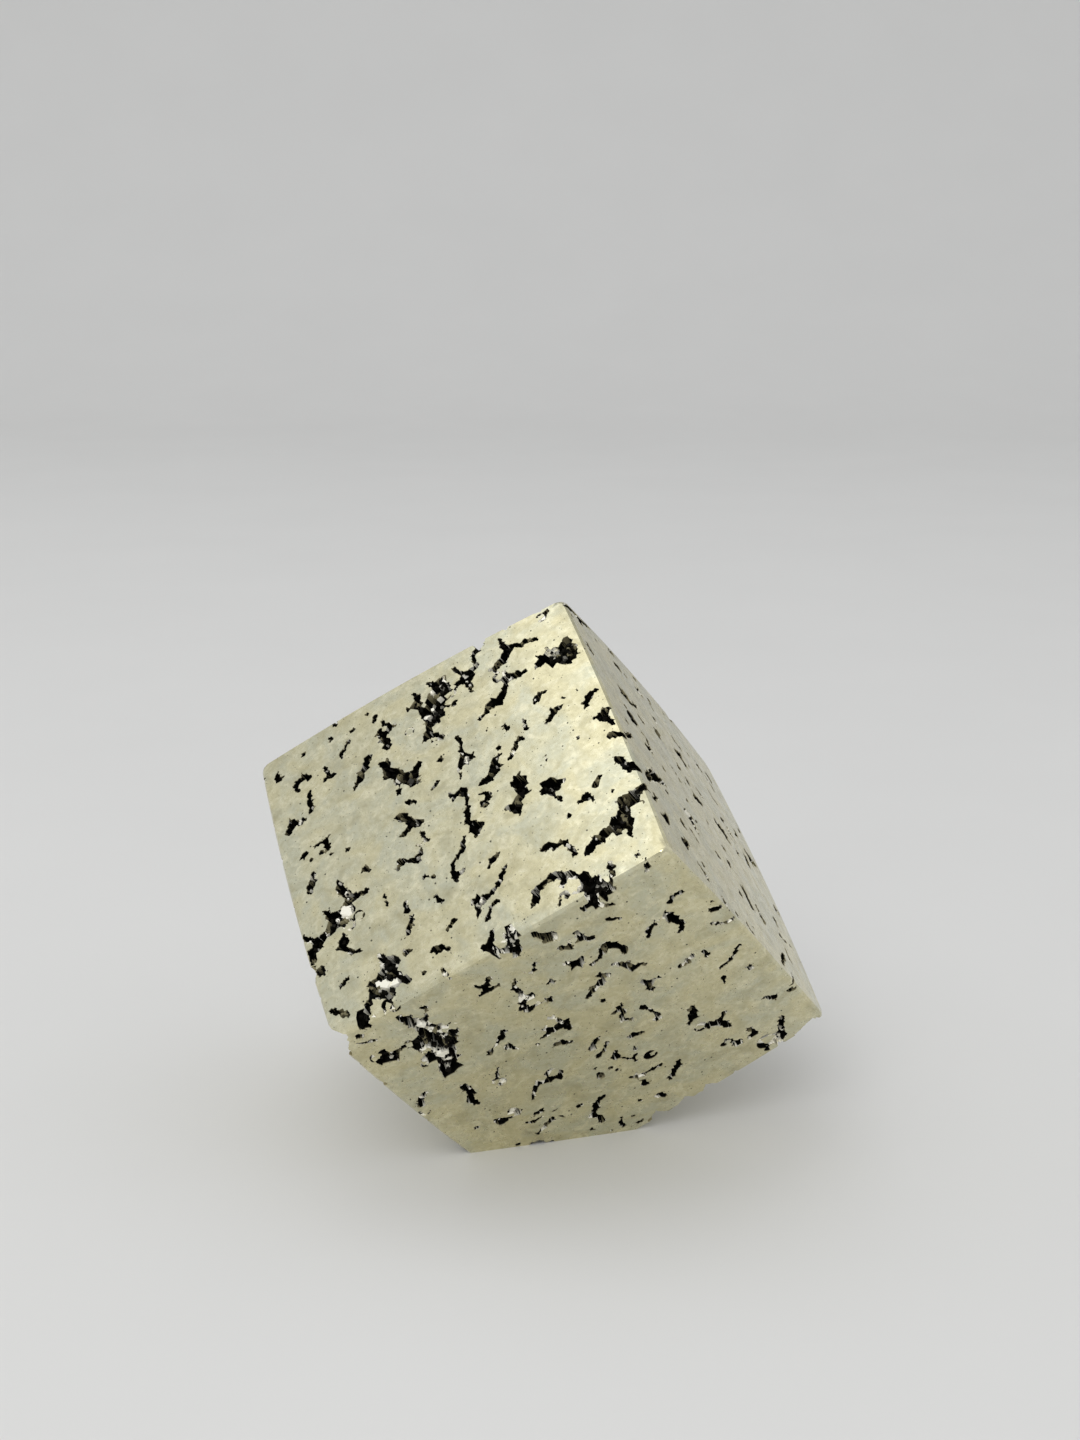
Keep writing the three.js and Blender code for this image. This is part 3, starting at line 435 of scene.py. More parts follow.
@dataclass
class Crystal:
    """The cube's planes, corners and rulers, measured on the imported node."""

    node: bpy.types.Object
    bulge: float = 0.95
    same_side: float = 15.0
    same_plane: float = 0.3
    tries: int = 4
    planes: dict[Face, Plane] = field(default_factory=dict)
    corners: dict[Corner, np.ndarray] = field(default_factory=dict)
    rulers: dict[Face, Ruler] = field(default_factory=dict)

    def __post_init__(self) -> None:
        """Measure the node."""
        sides = self.node.data.polygons
        normals = np.array([side.normal for side in sides])
        middles = np.array([side.center for side in sides]) / MM
        areas = np.array([side.area for side in sides])
        for face in Face:
            self.planes[face] = self.measured(face, normals, middles, areas)
        for corner in Corner:
            self.corners[corner] = meet(*(self.planes[face] for face in corner.value))
        for face, (start, u_end, v_side) in RULERS.items():
            self.rulers[face] = self.ruler(face, start, u_end, v_side)

    def measured(self, face: Face, normals: np.ndarray, middles: np.ndarray, areas: np.ndarray) -> Plane:
        """Measure one face's plane from the node's flat triangles.

        Args:
            face: The face.
            normals: Each triangle's normal.
            middles: Each triangle's middle, in millimetres.
            areas: Each triangle's area.

        Returns:
            The plane that most of the face lies in.
        """
        rough = np.array(face.value) / np.linalg.norm(face.value)
        facing = np.where(normals @ rough > math.cos(math.radians(self.same_side)), areas, 0)
        broadest = normals[np.argmax(facing)]
        level = normals @ broadest > math.cos(math.radians(self.same_plane))
        weights = np.where(level, areas, 0)
        normal = weights @ normals
        normal = normal / np.linalg.norm(normal)
        return Plane(normal, float(weights @ (middles @ normal) / weights.sum()))

    def ruler(self, face: Face, start: Corner, u_end: Corner, v_side: Corner) -> Ruler:
        """Lay a ruler on a face.

        Args:
            face: The face.
            start: The corner that it starts from.
            u_end: The corner that u runs to.
            v_side: A corner on v's side.

        Returns:
            The ruler.
        """
        u = self.corners[u_end] - self.corners[start]
        u = u / np.linalg.norm(u)
        out = self.planes[face].normal
        v = np.cross(out, u)
        if v @ (self.corners[v_side] - self.corners[start]) < 0:
            v = -v
        return Ruler(self.corners[start], u, v, out)

    def swelling(self, points: np.ndarray) -> np.ndarray:
        """Give how far polishing's pillow shape moves each point of the flat-sided cube.

        Args:
            points: Points of the flat-sided cube as rows.

        Returns:
            The moves as rows.
        """
        inner = {face: -plane.height(points) for face, plane in self.planes.items()}
        across = {a: (inner[b] - inner[a]) / (inner[b] + inner[a]) for a, b in OPPOSITE.items()}
        moves = np.zeros_like(points)
        for face, place in across.items():
            others = [1 - across[other] ** 2 for other in OPPOSITE if other is not face]
            size = self.bulge * place * sum(others) / 2
            moves += size[:, None] * self.planes[face].normal
        return moves

    def swell(self, points: np.ndarray) -> np.ndarray:
        """Give the polished cube's points for the flat-sided cube's."""
        return points + self.swelling(points)

    def flatten(self, points: np.ndarray) -> np.ndarray:
        """Give the flat-sided cube's points for the polished cube's.

        Args:
            points: Points of the polished cube as rows.

        Returns:
            The points as rows.
        """
        flat = points
        for _ in range(self.tries):
            flat = points - self.swelling(flat)
        return flat

    def depths(self, flat: np.ndarray) -> np.ndarray:
        """Give how deep each point of the flat-sided cube lies under the nearest face."""
        return -np.max([plane.height(flat) for plane in self.planes.values()], axis=0)


@dataclass
class PolishedCube:
    """The whole cube before its vugs: flat bevels, rounded corners and the resting facet."""

    crystal: Crystal
    strips: tuple[tuple[Span, float], ...] = (((1, 1), 0.24),)
    corner_radius: float = 0.85
    corner_steps: int = 6
    slice_gap: float = 2.4
    block: float = 220.0
    slack: float = 1e-5

    def edge_planes(self) -> Iterator[Plane]:
        """Go over the bevels along the twelve edges.

        Yields:
            Each strip's plane.
        """
        corners = list(Corner)
        for index, one in enumerate(corners):
            for other in corners[index + 1 :]:
                shared = [face for face in one.value if face in other.value]
                if len(shared) == 2:
                    for leans, depth in EDGE_STRIPS.get(frozenset(shared), self.strips):
                        yield self.slope(shared, leans, one, depth)

    def corner_planes(self) -> Iterator[Plane]:
        """Go over the small planes that round the corners.

        Yields:
            Each plane.
        """
        steps = self.corner_steps
        for corner in Corner:
            for a in range(1, steps - 1):
                for b in range(1, steps - a):
                    weights = (a, b, steps - a - b)
                    length = math.sqrt(sum(weight * weight for weight in weights))
                    depth = self.corner_radius * (steps / length - 1)
                    yield self.slope(corner.value, weights, corner, depth)

    def slope(self, faces: Iterable[Face], weights: Iterable[float], corner: Corner, depth: float) -> Plane:
        """Lay a plane that leans between faces.

        Args:
            faces: The faces that it leans between.
            weights: How much it leans to each.
            corner: A corner on all of them.
            depth: How much it takes off there.

        Returns:
            The plane.
        """
        lean = sum(weight * self.crystal.planes[face].normal for face, weight in zip(faces, weights))
        normal = lean / np.linalg.norm(lean)
        return Plane(normal, float(normal @ self.crystal.corners[corner] - depth))

    def cut(self, shape: bmesh.types.BMesh, plane: Plane, keep_outside: bool = False) -> None:
        """Cut a closed shape at a plane.

        Args:
            shape: The shape.
            plane: The plane.
            keep_outside: Whether the cut only draws a line round the shape.
        """
        made = bmesh.ops.bisect_plane(
            shape,
            geom=[*shape.verts, *shape.edges, *shape.faces],
            plane_co=Vector(plane.normal * plane.offset),
            plane_no=Vector(plane.normal),
            clear_outer=not keep_outside,
            dist=self.slack,
        )
        if not keep_outside:
            rim = [item for item in made["geom_cut"] if isinstance(item, bmesh.types.BMEdge)]
            bmesh.ops.contextual_create(shape, geom=rim)

    def slices(self) -> Iterator[Plane]:
        """Go over the planes that divide the flat faces finely enough to swell.

        Yields:
            Each plane.
        """
        for face, other in OPPOSITE.items():
            plane = self.crystal.planes[face]
            width = plane.offset + self.crystal.planes[other].offset
            count = round(width / self.slice_gap)
            for step in range(1, count):
                yield Plane(plane.normal, plane.offset - width * step / count)

    def build(self) -> bmesh.types.BMesh:
        """Make the cube.

        Returns:
            The closed shape, in millimetres.
        """
        shape = bmesh.new()
        bmesh.ops.create_cube(shape, size=self.block)
        for plane in [*self.crystal.planes.values(), *self.edge_planes(), *self.corner_planes()]:
            self.cut(shape, plane)
        for plane in self.slices():
            self.cut(shape, plane, keep_outside=True)
        points = self.crystal.swell(np.array([vert.co for vert in shape.verts]))
        for vert, point in zip(shape.verts, points):
            vert.co = point
        self.cut(shape, Plane(np.array([0.0, 0.0, -1.0]), 0.0))
        bmesh.ops.recalc_face_normals(shape, faces=shape.faces)
        return shape


@dataclass
class VugField:
    """One face's vugs as a height field: open pits with crystal grains grown into them, each grain painted
    bright as a painted highlight, dull as a painted dim sheen, or black as painted shade.

    A grain is larger in a wider vug. Its height, and a wall grain's place, are given over its own half
    side. A floor grain's place, and how far it is sunk, are given over the vug's half width.
    """

    face: Face
    seed: int
    bright_share: float
    stray_vugs: int
    widest_stray: float
    step: float = 0.1
    low: float = -3.0
    high: float = 54.0
    end_gap: float = 1.001
    rim: float = 0.09
    widen: float = 1.5
    depth: float = 1.9
    steepness: int = 6
    wobble: float = 0.07
    long_wobble: float = 0.7
    short_wobble: float = 0.3
    short_share: float = 0.6
    grain_gap: float = 0.55
    grain_reach: float = 1.75
    least_lean: float = 0.05
    # How the grains are painted: bright ones as painted highlights, dull ones as a painted dim sheen, the
    # rest black as painted shade.
    painted_highlight: Span = (0.75, 1)
    dull_share: float = 0.35
    dull_glint: float = 0.22
    ring: int = 7
    ring_shake: float = 0.3
    clear: float = 0.84
    wall_size: Span = (0.42, 0.85)
    wall_even: float = 0.25
    wall_away: Span = (0.85, 1.35)
    low_share: float = 0.24
    low_grains: Span = (0.9, 1.7)
    high_grains: Span = (-0.1, 0.5)
    floor_crowd: float = 0.6
    floor_least: float = 0.3
    floor_size: Span = (0.2, 0.42)
    floor_even: float = 0.5
    floor_away: float = 1.1
    floor_depth: Span = (0.9, 1.8)
    floor_sunk: float = 0.35
    patch_widen: float = 1.4
    patch_depth: float = 1.2
    patch_share: float = 0.9
    patch_crowd: float = 6.0
    patch_sunk: float = -0.1
    patch_size: float = 1.7
    stray_place: Span = (0.5, 48.5)
    stray_places: tuple[int, int] = (1, 5)
    least_stray: float = 0.16
    stray_bend: float = 1.1
    stray_gap: Span = (0.6, 1.1)
    stretches: tuple[np.ndarray, np.ndarray, np.ndarray, np.ndarray] = field(init=False)
    chance: np.random.Generator = field(init=False)
    count: int = field(init=False)
    line: np.ndarray = field(init=False)
    floor: np.ndarray = field(init=False)
    glint: np.ndarray = field(init=False)
    ripple: np.ndarray = field(init=False)

    def __post_init__(self) -> None:
        """Lay the empty field out."""
        self.chance = np.random.default_rng(self.seed)
        self.count = round((self.high - self.low) / self.step) + 1
        self.line = self.low + self.step * np.arange(self.count)
        self.floor = np.zeros((self.count, self.count))
        self.glint = np.zeros((self.count, self.count))
        long = self.noise(self.long_wobble)
        self.ripple = self.wobble * (long + self.short_share * self.noise(self.short_wobble))

    def noise(self, length: float) -> np.ndarray:
        """Make smooth noise between about -1 and 1.

        Args:
            length: Its length from swell to swell.

        Returns:
            A value for each place of the field.
        """
        knots = math.ceil((self.high - self.low) / length) + 2
        values = self.chance.uniform(-1, 1, (knots, knots))
        spot = (self.line - self.low) / length
        cell = spot.astype(int)
        part = spot - cell
        part = part * part * (3 - 2 * part)
        rows = values[cell] * (1 - part[:, None]) + values[cell + 1] * part[:, None]
        return rows[:, cell] * (1 - part) + rows[:, cell + 1] * part

    def window(self, u: float, v: float, reach: float) -> tuple[slice, slice]:
        """Give the part of the field within reach of a place.

        Args:
            u: The place along u.
            v: The place along v.
            reach: The reach.

        Returns:
            The field's rows and columns.
        """
        first = [max(0, math.floor((value - reach - self.low) / self.step)) for value in (u, v)]
        last = [max(0, math.ceil((value + reach - self.low) / self.step) + 1) for value in (u, v)]
        return slice(first[0], last[0]), slice(first[1], last[1])

    def carve(self, a: Place, b: Place, widen: float, depth: float) -> None:
        """Sink one stretch of a vug, round-bottomed and as wide as its two places say.

        Args:
            a: The place that it starts from.
            b: The place that it runs to.
            widen: How much wider it is than its places say, to leave room for the grains.
            depth: Its depth over its half width.
        """
        run = math.hypot(b[0] - a[0], b[1] - a[1])
        reach = run / 2 + widen * max(a[2], b[2]) + self.step
        part = self.window((a[0] + b[0]) / 2, (a[1] + b[1]) / 2, reach)
        u = self.line[part[0], None] - a[0]
        v = self.line[None, part[1]] - a[1]
        along = np.clip((u * (b[0] - a[0]) + v * (b[1] - a[1])) / max(run * run, TINY), 0, 1)
        radius = widen * (a[2] + (b[2] - a[2]) * along)
        away = np.hypot(u - along * (b[0] - a[0]), v - along * (b[1] - a[1])) + self.ripple[part]
        bowl = np.sqrt(np.clip(1 - (away / radius) ** self.steepness, 0, 1))
        self.floor[part] = np.minimum(self.floor[part], -depth * radius * bowl)

    def grow(self, u: float, v: float, level: float, half: float, glint: float) -> None:
        """Grow one cube-shaped grain, turned at random, out of the floor.

        Args:
            u: Its middle along u.
            v: Its middle along v.
            level: Its middle's height under the face.
            half: Half its side.
            glint: How bright it is painted: a painted highlight, a painted dim sheen, or painted shade.
        """
        part = self.window(u, v, self.grain_reach * half)
        du = self.line[part[0], None] - u
        dv = self.line[None, part[1]] - v
        axes, _ = np.linalg.qr(self.chance.normal(size=(3, 3)))
        top = np.inf
        base = -np.inf
        for axis in axes:
            up = axis if axis[2] > 0 else -axis
            lean = up[0] * du + up[1] * dv
            top = np.minimum(top, (half - lean) / max(up[2], self.least_lean))
            base = np.maximum(base, (-half - lean) / max(up[2], self.least_lean))
        height = np.minimum(level + top, 0)
        grown = (top > base) & (height > self.floor[part]) & (self.floor[part] < 0)
        self.floor[part] = np.where(grown, height, self.floor[part])
        self.glint[part] = np.where(grown, glint, self.glint[part])

    def along(self, chain: Chain) -> Iterator[Place]:
        """Go along a chain, one grain's gap at a time.

        Args:
            chain: The chain.

        Yields:
            Each place.
        """
        yield chain[0]
        for a, b in zip(chain, chain[1:]):
            count = max(1, round(math.hypot(b[0] - a[0], b[1] - a[1]) / self.grain_gap))
            for step in range(1, count + 1):
                part = step / count
                yield tuple(start + (end - start) * part for start, end in zip(a, b))

    def clearance(self, u: float, v: float) -> float:
        """Give how far a place stands outside every vug's drawn width.

        Args:
            u: The place along u.
            v: The place along v.

        Returns:
            The distance, negative inside a vug.
        """
        start, run, width, growth = self.stretches
        away = np.array([u, v]) - start
        along = np.clip(np.sum(away * run, axis=1) / np.maximum(np.sum(run * run, axis=1), TINY), 0, 1)
        gaps = np.linalg.norm(away - along[:, None] * run, axis=1) - width - along * growth
        return float(gaps.min())

    def lay_stretches(self, chains: Iterable[Chain]) -> None:
        """Note every stretch of every vug, for measuring how far a place stands outside them.

        Args:
            chains: The vugs.
        """
        ends = np.array([(a, b) for chain in chains for a, b in zip(chain, chain[1:] or chain)])
        first, last = ends[:, 0], ends[:, 1]
        self.stretches = (first[:, :2], last[:, :2] - first[:, :2], first[:, 2], last[:, 2] - first[:, 2])

    def shine(self, share: float) -> float:
        """Choose whether a grain is painted bright, dull or dark: a painted highlight, a painted dim sheen,
        or painted shade.

        Args:
            share: The part of the grains that are painted bright, as painted highlights.

        Returns:
            How bright the grain is painted.
        """
        chance = self.chance.random()
        if chance < share:
            return self.chance.uniform(*self.painted_highlight)
        return self.dull_glint if chance < share + self.dull_share * (1 - share) else 0.0

    def wall_grains(self, chain: Chain, share: float) -> None:
        """Crowd grains round a vug, so that its outline bends inwards between sharp cusps.

        Args:
            chain: The vug's places.
            share: The part of the grains that are painted bright, as painted highlights.
        """
        for u, v, half_width in self.along(chain):
            first = self.chance.uniform(0, 2 * math.pi)
            for step in range(self.ring):
                shake = self.chance.uniform(-self.ring_shake, self.ring_shake)
                turn = first + 2 * math.pi * (step + shake) / self.ring
                half = self.chance.uniform(*self.wall_size)
                half *= self.wall_even + (1 - self.wall_even) * half_width
                away = half_width + half * self.chance.uniform(*self.wall_away)
                spot = (u + away * math.cos(turn), v + away * math.sin(turn))
                if self.clearance(*spot) > self.clear * half:
                    low = self.chance.random() < self.low_share
                    level = -half * self.chance.uniform(*(self.low_grains if low else self.high_grains))
                    self.grow(*spot, level, half, self.shine(share))

    def floor_grains(self, chain: Chain, share: float, crowd: float, sunk: float, size: float) -> None:
        """Scatter grains over the floor of a vug.

        Args:
            chain: The vug's places.
            share: The part of the grains that are painted bright, as painted highlights.
            crowd: How many grains each place has.
            sunk: How far down they start, over the vug's half width.
            size: Their size over the usual.
        """
        for u, v, half_width in self.along(chain):
            for _ in range(self.chance.poisson(crowd * (self.floor_least + half_width**2))):
                half = size * self.chance.uniform(*self.floor_size)
                half *= self.floor_even + (1 - self.floor_even) * half_width
                away = half_width * self.chance.uniform(0, self.floor_away)
                turn = self.chance.uniform(0, 2 * math.pi)
                level = -self.chance.uniform(*self.floor_depth) * half - sunk * half_width
                spot = (u + away * math.cos(turn), v + away * math.sin(turn))
                self.grow(*spot, level, half, self.shine(share))

    def strays(self) -> Iterator[Chain]:
        """Scatter small vugs over the face.

        Yields:
            Each vug's places.
        """
        for _ in range(self.stray_vugs):
            u, v = self.chance.uniform(*self.stray_place, 2)
            turn = self.chance.uniform(0, 2 * math.pi)
            chain = []
            for _ in range(self.chance.integers(*self.stray_places)):
                chain.append((u, v, self.chance.uniform(self.least_stray, self.widest_stray)))
                turn += self.chance.uniform(-self.stray_bend, self.stray_bend)
                u += math.cos(turn) * self.chance.uniform(*self.stray_gap)
                v += math.sin(turn) * self.chance.uniform(*self.stray_gap)
            yield chain

    def open_vugs(self, vugs: Iterable[Chain], patches: list[Place]) -> None:
        """Sink every vug and patch of the face and line them with grains.

        Args:
            vugs: The deep vugs.
            patches: The shallow patches of crystals, most of them painted bright as painted highlights.
        """
        chains = [*vugs, *self.strays()]
        self.lay_stretches([*chains, *([place] for place in patches)])
        for chain in chains:
            for a, b in zip(chain, chain[1:] or chain):
                self.carve(a, b, self.widen, self.depth)
        for place in patches:
            self.carve(place, place, self.patch_widen, self.patch_depth)
        for chain in chains:
            self.floor_grains(chain, self.bright_share, self.floor_crowd, self.floor_sunk, 1.0)
        for place in patches:
            self.floor_grains([place], self.patch_share, self.patch_crowd, self.patch_sunk, self.patch_size)
        for chain in chains:
            self.wall_grains(chain, self.bright_share)

    def sample(self, values: np.ndarray, uv: np.ndarray) -> np.ndarray:
        """Read the field between its places.

        Args:
            values: The values to read.
            uv: Rows of u and v.

        Returns:
            One value for each row.
        """
        spot = np.clip((uv - self.low) / self.step, 0, self.count - self.end_gap)
        cell = spot.astype(int)
        part = spot - cell
        i, j = cell[:, 0], cell[:, 1]
        s, t = part[:, 0], part[:, 1]
        near = values[i, j] * (1 - s) + values[i + 1, j] * s
        far = values[i, j + 1] * (1 - s) + values[i + 1, j + 1] * s
        return near * (1 - t) + far * t

    def glint_at(self, uv: np.ndarray) -> np.ndarray:
        """Give how bright the grain at each place is painted.

        Args:
            uv: Rows of u and v.

        Returns:
            One value for each row.
        """
        cell = np.clip(np.rint((uv - self.low) / self.step), 0, self.count - 1).astype(int)
        return self.glint[cell[:, 0], cell[:, 1]]

    def crossing(self, key: tuple[int, int, int]) -> tuple[float, float]:
        """Give where the rim crosses one side of a cell.

        Args:
            key: The cell's row and column, and whether the side runs along v.

        Returns:
            The place's u and v.
        """
        i, j, across = key
        here = self.floor[i, j] + self.rim
        there = (self.floor[i, j + 1] if across else self.floor[i + 1, j]) + self.rim
        part = here / (here - there)
        if across:
            return self.line[i], self.line[j] + part * self.step
        return self.line[i] + part * self.step, self.line[j]

    def rims(self) -> list[np.ndarray]:
        """Trace the outlines of the vugs.

        Returns:
            Closed loops of u and v.
        """
        inside = self.floor < -self.rim
        code = inside[:-1, :-1] * 1 + inside[1:, :-1] * 2 + inside[1:, 1:] * 4 + inside[:-1, 1:] * 8
        follows = {}
        for i, j in np.argwhere(np.isin(code, list(CELL_LINKS))):
            i, j = int(i), int(j)
            sides = ((i, j, 0), (i + 1, j, 1), (i, j + 1, 0), (i, j, 1))
            for leave, enter in CELL_LINKS[int(code[i, j])]:
                follows[sides[leave]] = sides[enter]
        loops = []
        while follows:
            first, key = follows.popitem()
            loop = [self.crossing(first)]
            while key != first:
                loop.append(self.crossing(key))
                key = follows.pop(key)
            loops.append(np.array(loop))
        return loops


def area_of(loop: np.ndarray) -> float:
    """Give the area that a loop goes round, without its sign.

    Args:
        loop: The closed loop.

    Returns:
        The area.
    """
    after = np.roll(loop, -1, axis=0)
    return abs(float(np.sum(loop[:, 0] * after[:, 1] - loop[:, 1] * after[:, 0]))) / 2


def thinned(loop: np.ndarray, slack: float) -> np.ndarray:
    """Leave out the points of a loop that lie on nearly straight stretches.

    Args:
        loop: The closed loop.
        slack: How far the thinned loop may stray.

    Returns:
        The thinned loop.
    """
    far = int(np.argmax(np.linalg.norm(loop - loop[0], axis=1)))
    kept = {0, far}
    todo = [(0, far), (far, len(loop))]
    while todo:
        first, last = todo.pop()
        if last - first < 2:
            continue
        a = loop[first]
        b = loop[last % len(loop)]
        run = b - a
        length = max(float(np.hypot(*run)), TINY)
        rest = loop[first + 1 : last] - a
        off = np.abs(rest[:, 0] * run[1] - rest[:, 1] * run[0]) / length
        worst = int(np.argmax(off))
        if off[worst] > slack:
            middle = first + 1 + worst
            kept.add(middle)
            todo += [(first, middle), (middle, last)]
    return loop[sorted(kept)]


def new_object(name: str, mesh: bpy.types.Mesh) -> bpy.types.Object:
    """Put a mesh into the scene as an object of its own.

    Args:
        name: The object's name.
        mesh: Its mesh.

    Returns:
        The object.
    """
    made = bpy.data.objects.new(name, mesh)
    bpy.context.scene.collection.objects.link(made)
    return made


def new_cutter(name: str, shape: bmesh.types.BMesh, index: int) -> bpy.types.Object:
    """Make a cutter of a closed shape, with a number that its cuts carry as their material's.

    Args:
        name: The cutter's name.
        shape: The shape, which is used up.
        index: The number.

    Returns:
        The cutter's object.
    """
    bmesh.ops.recalc_face_normals(shape, faces=shape.faces)
    for side in shape.faces:
        side.material_index = index
    mesh = bpy.data.meshes.new(name)
    for _ in range(index + 1):
        mesh.materials.append(None)
    shape.to_mesh(mesh)
    shape.free()
    return new_object(name, mesh)


def evaluated(piece: bpy.types.Object) -> bpy.types.Mesh:
    """Give a piece's mesh as its modifiers leave it, as a plain mesh."""
    graph = bpy.context.evaluated_depsgraph_get()
    return bpy.data.meshes.new_from_object(piece.evaluated_get(graph), depsgraph=graph)


@dataclass
class VugCutter:
    """The closed solid that takes one face's vugs out of the cube."""

    crystal: Crystal
    vugs: VugField
    index: int
    slack: float = 0.022
    smallest: float = 0.035
    spacing: float = 0.17
    shake: float = 0.3
    margin: float = 0.5
    clear: float = 0.08
    ways: int = 8
    proud: float = 1.4
    merge: float = 1e-5

    def outline(self) -> tuple[np.ndarray, list[tuple[int, int]]]:
        """Give the vugs' rims.

        Returns:
            Their points, and their sides as pairs of the points' numbers.
        """
        points = []
        sides = []
        count = 0
        for loop in self.vugs.rims():
            if area_of(loop) < self.smallest:
                continue
            loop = thinned(loop, self.slack)
            if len(loop) < 3:
                continue
            ring = range(count, count + len(loop))
            sides += zip(ring, [*ring[1:], ring[0]])
            points.append(loop)
            count += len(loop)
        return np.concatenate(points), sides

    def inner(self) -> np.ndarray:
        """Scatter points over the vugs' floors, well inside their rims.

        Returns:
            Rows of u and v.
        """
        vugs = self.vugs
        line = np.arange(vugs.low + self.margin, vugs.high - self.margin, self.spacing)
        grid = np.stack(np.meshgrid(line, line, indexing="ij"), axis=-1).reshape(-1, 2)
        grid = grid + vugs.chance.uniform(-self.shake, self.shake, grid.shape) * self.spacing
        clear = np.ones(len(grid), dtype=bool)
        for turn in np.arange(self.ways) * 2 * math.pi / self.ways:
            way = np.array([math.cos(turn), math.sin(turn)])
            clear &= vugs.sample(vugs.floor, grid + self.clear * way) < -vugs.rim
        return grid[clear]

    def build(self) -> bpy.types.Object:
        """Make the solid.

        Returns:
            Its object, in millimetres.
        """
        rim, sides = self.outline()
        flat = [Vector(place) for place in np.concatenate([rim, self.inner()])]
        places, _, triangles, _, _, _ = delaunay_2d_cdt(
            flat, sides, [], INSIDE_WITH_HOLES, self.merge
        )
        uv = np.array(places)
        uses = Counter()
        for triangle in triangles:
            for start, end in zip(triangle, [*triangle[1:], triangle[0]]):
                uses[min(start, end), max(start, end)] += 1
        border = [key for key, count in uses.items() if count == 1]
        rim_height = -self.vugs.rim
        floor = np.minimum(self.vugs.sample(self.vugs.floor, uv), rim_height)
        floor[np.array(border).ravel()] = rim_height
        ruler = self.crystal.rulers[self.vugs.face]
        face = self.crystal.swell(ruler.place(uv))
        points = np.concatenate([face + floor[:, None] * ruler.out, face + self.proud * ruler.out])
        count = len(uv)
        polygons = [tuple(triangle) for triangle in triangles]
        polygons += [tuple(index + count for index in reversed(triangle)) for triangle in triangles]
        polygons += [(a, b, b + count, a + count) for a, b in border]
        name = f"{self.vugs.face.name.lower()}_cutter"
        mesh = bpy.data.meshes.new(name)
        mesh.from_pydata(points.tolist(), [], polygons)
        shape = bmesh.new()
        shape.from_mesh(mesh)
        bpy.data.meshes.remove(mesh)
        lone = [vert for vert in shape.verts if not vert.link_faces]
        bmesh.ops.delete(shape, geom=lone, context="VERTS")
        torn = sum(not edge.is_manifold for edge in shape.edges)
        LOG.info("%s: %d vug triangles, %d torn edges", self.vugs.face.name, len(triangles), torn)
        return new_cutter(name, shape, self.index)


@dataclass
class BrokenEdges:
    """The rough blocks that take the broken places out of the edges and corners."""

    crystal: Crystal
    index: int
    seed: int = 5
    cuts: int = 6
    rough: float = 0.14
    lean: float = 0.1

    def build(self) -> list[bpy.types.Object]:
        """Make the blocks.

        Returns:
            Their objects, in millimetres.
        """
        chance = np.random.default_rng(self.seed)
        middle, halves, turn = LOST_CORNER
        blocks = [self.block("corner", np.array(middle), np.eye(3), halves, turn, chance)]
        for face, sizes in BREAKS.items():
            ruler = self.crystal.rulers[face]
            for u, v, *halves, turn in sizes:
                middle = self.crystal.swell(ruler.place(np.array([[u, v]])))[0]
                axes = np.array([ruler.u, ruler.v, ruler.out])
                blocks.append(self.block(face.name.lower(), middle, axes, halves, turn, chance))
        return blocks

    def block(
        self, name: str, middle: np.ndarray, axes: np.ndarray, halves: Iterable[float], turn: float,
        chance: np.random.Generator
    ) -> bpy.types.Object:
        """Make one block, with rough sides.

        Args:
            name: What is broken.
            middle: Its middle.
            axes: The ways that its sides run before it is turned, as rows.
            halves: Half its size along each.
            turn: Its turn about the last of them, in degrees.
            chance: The source of its roughness.

        Returns:
            Its object.
        """
        shape = bmesh.new()
        bmesh.ops.create_cube(shape, size=2)
        bmesh.ops.subdivide_edges(shape, edges=shape.edges[:], cuts=self.cuts, use_grid_fill=True)
        points = np.array([vert.co for vert in shape.verts]) * halves
        points += self.rough * np.sqrt(halves) * chance.uniform(-1, 1, points.shape)
        leans = (*chance.normal(0, self.lean, 2), math.radians(turn))
        points = middle + points @ np.array(Euler(leans).to_matrix()).T @ axes
        for vert, point in zip(shape.verts, points):
            vert.co = point
        bmesh.ops.triangulate(shape, faces=shape.faces)
        return new_cutter(f"{name}_break", shape, self.index)


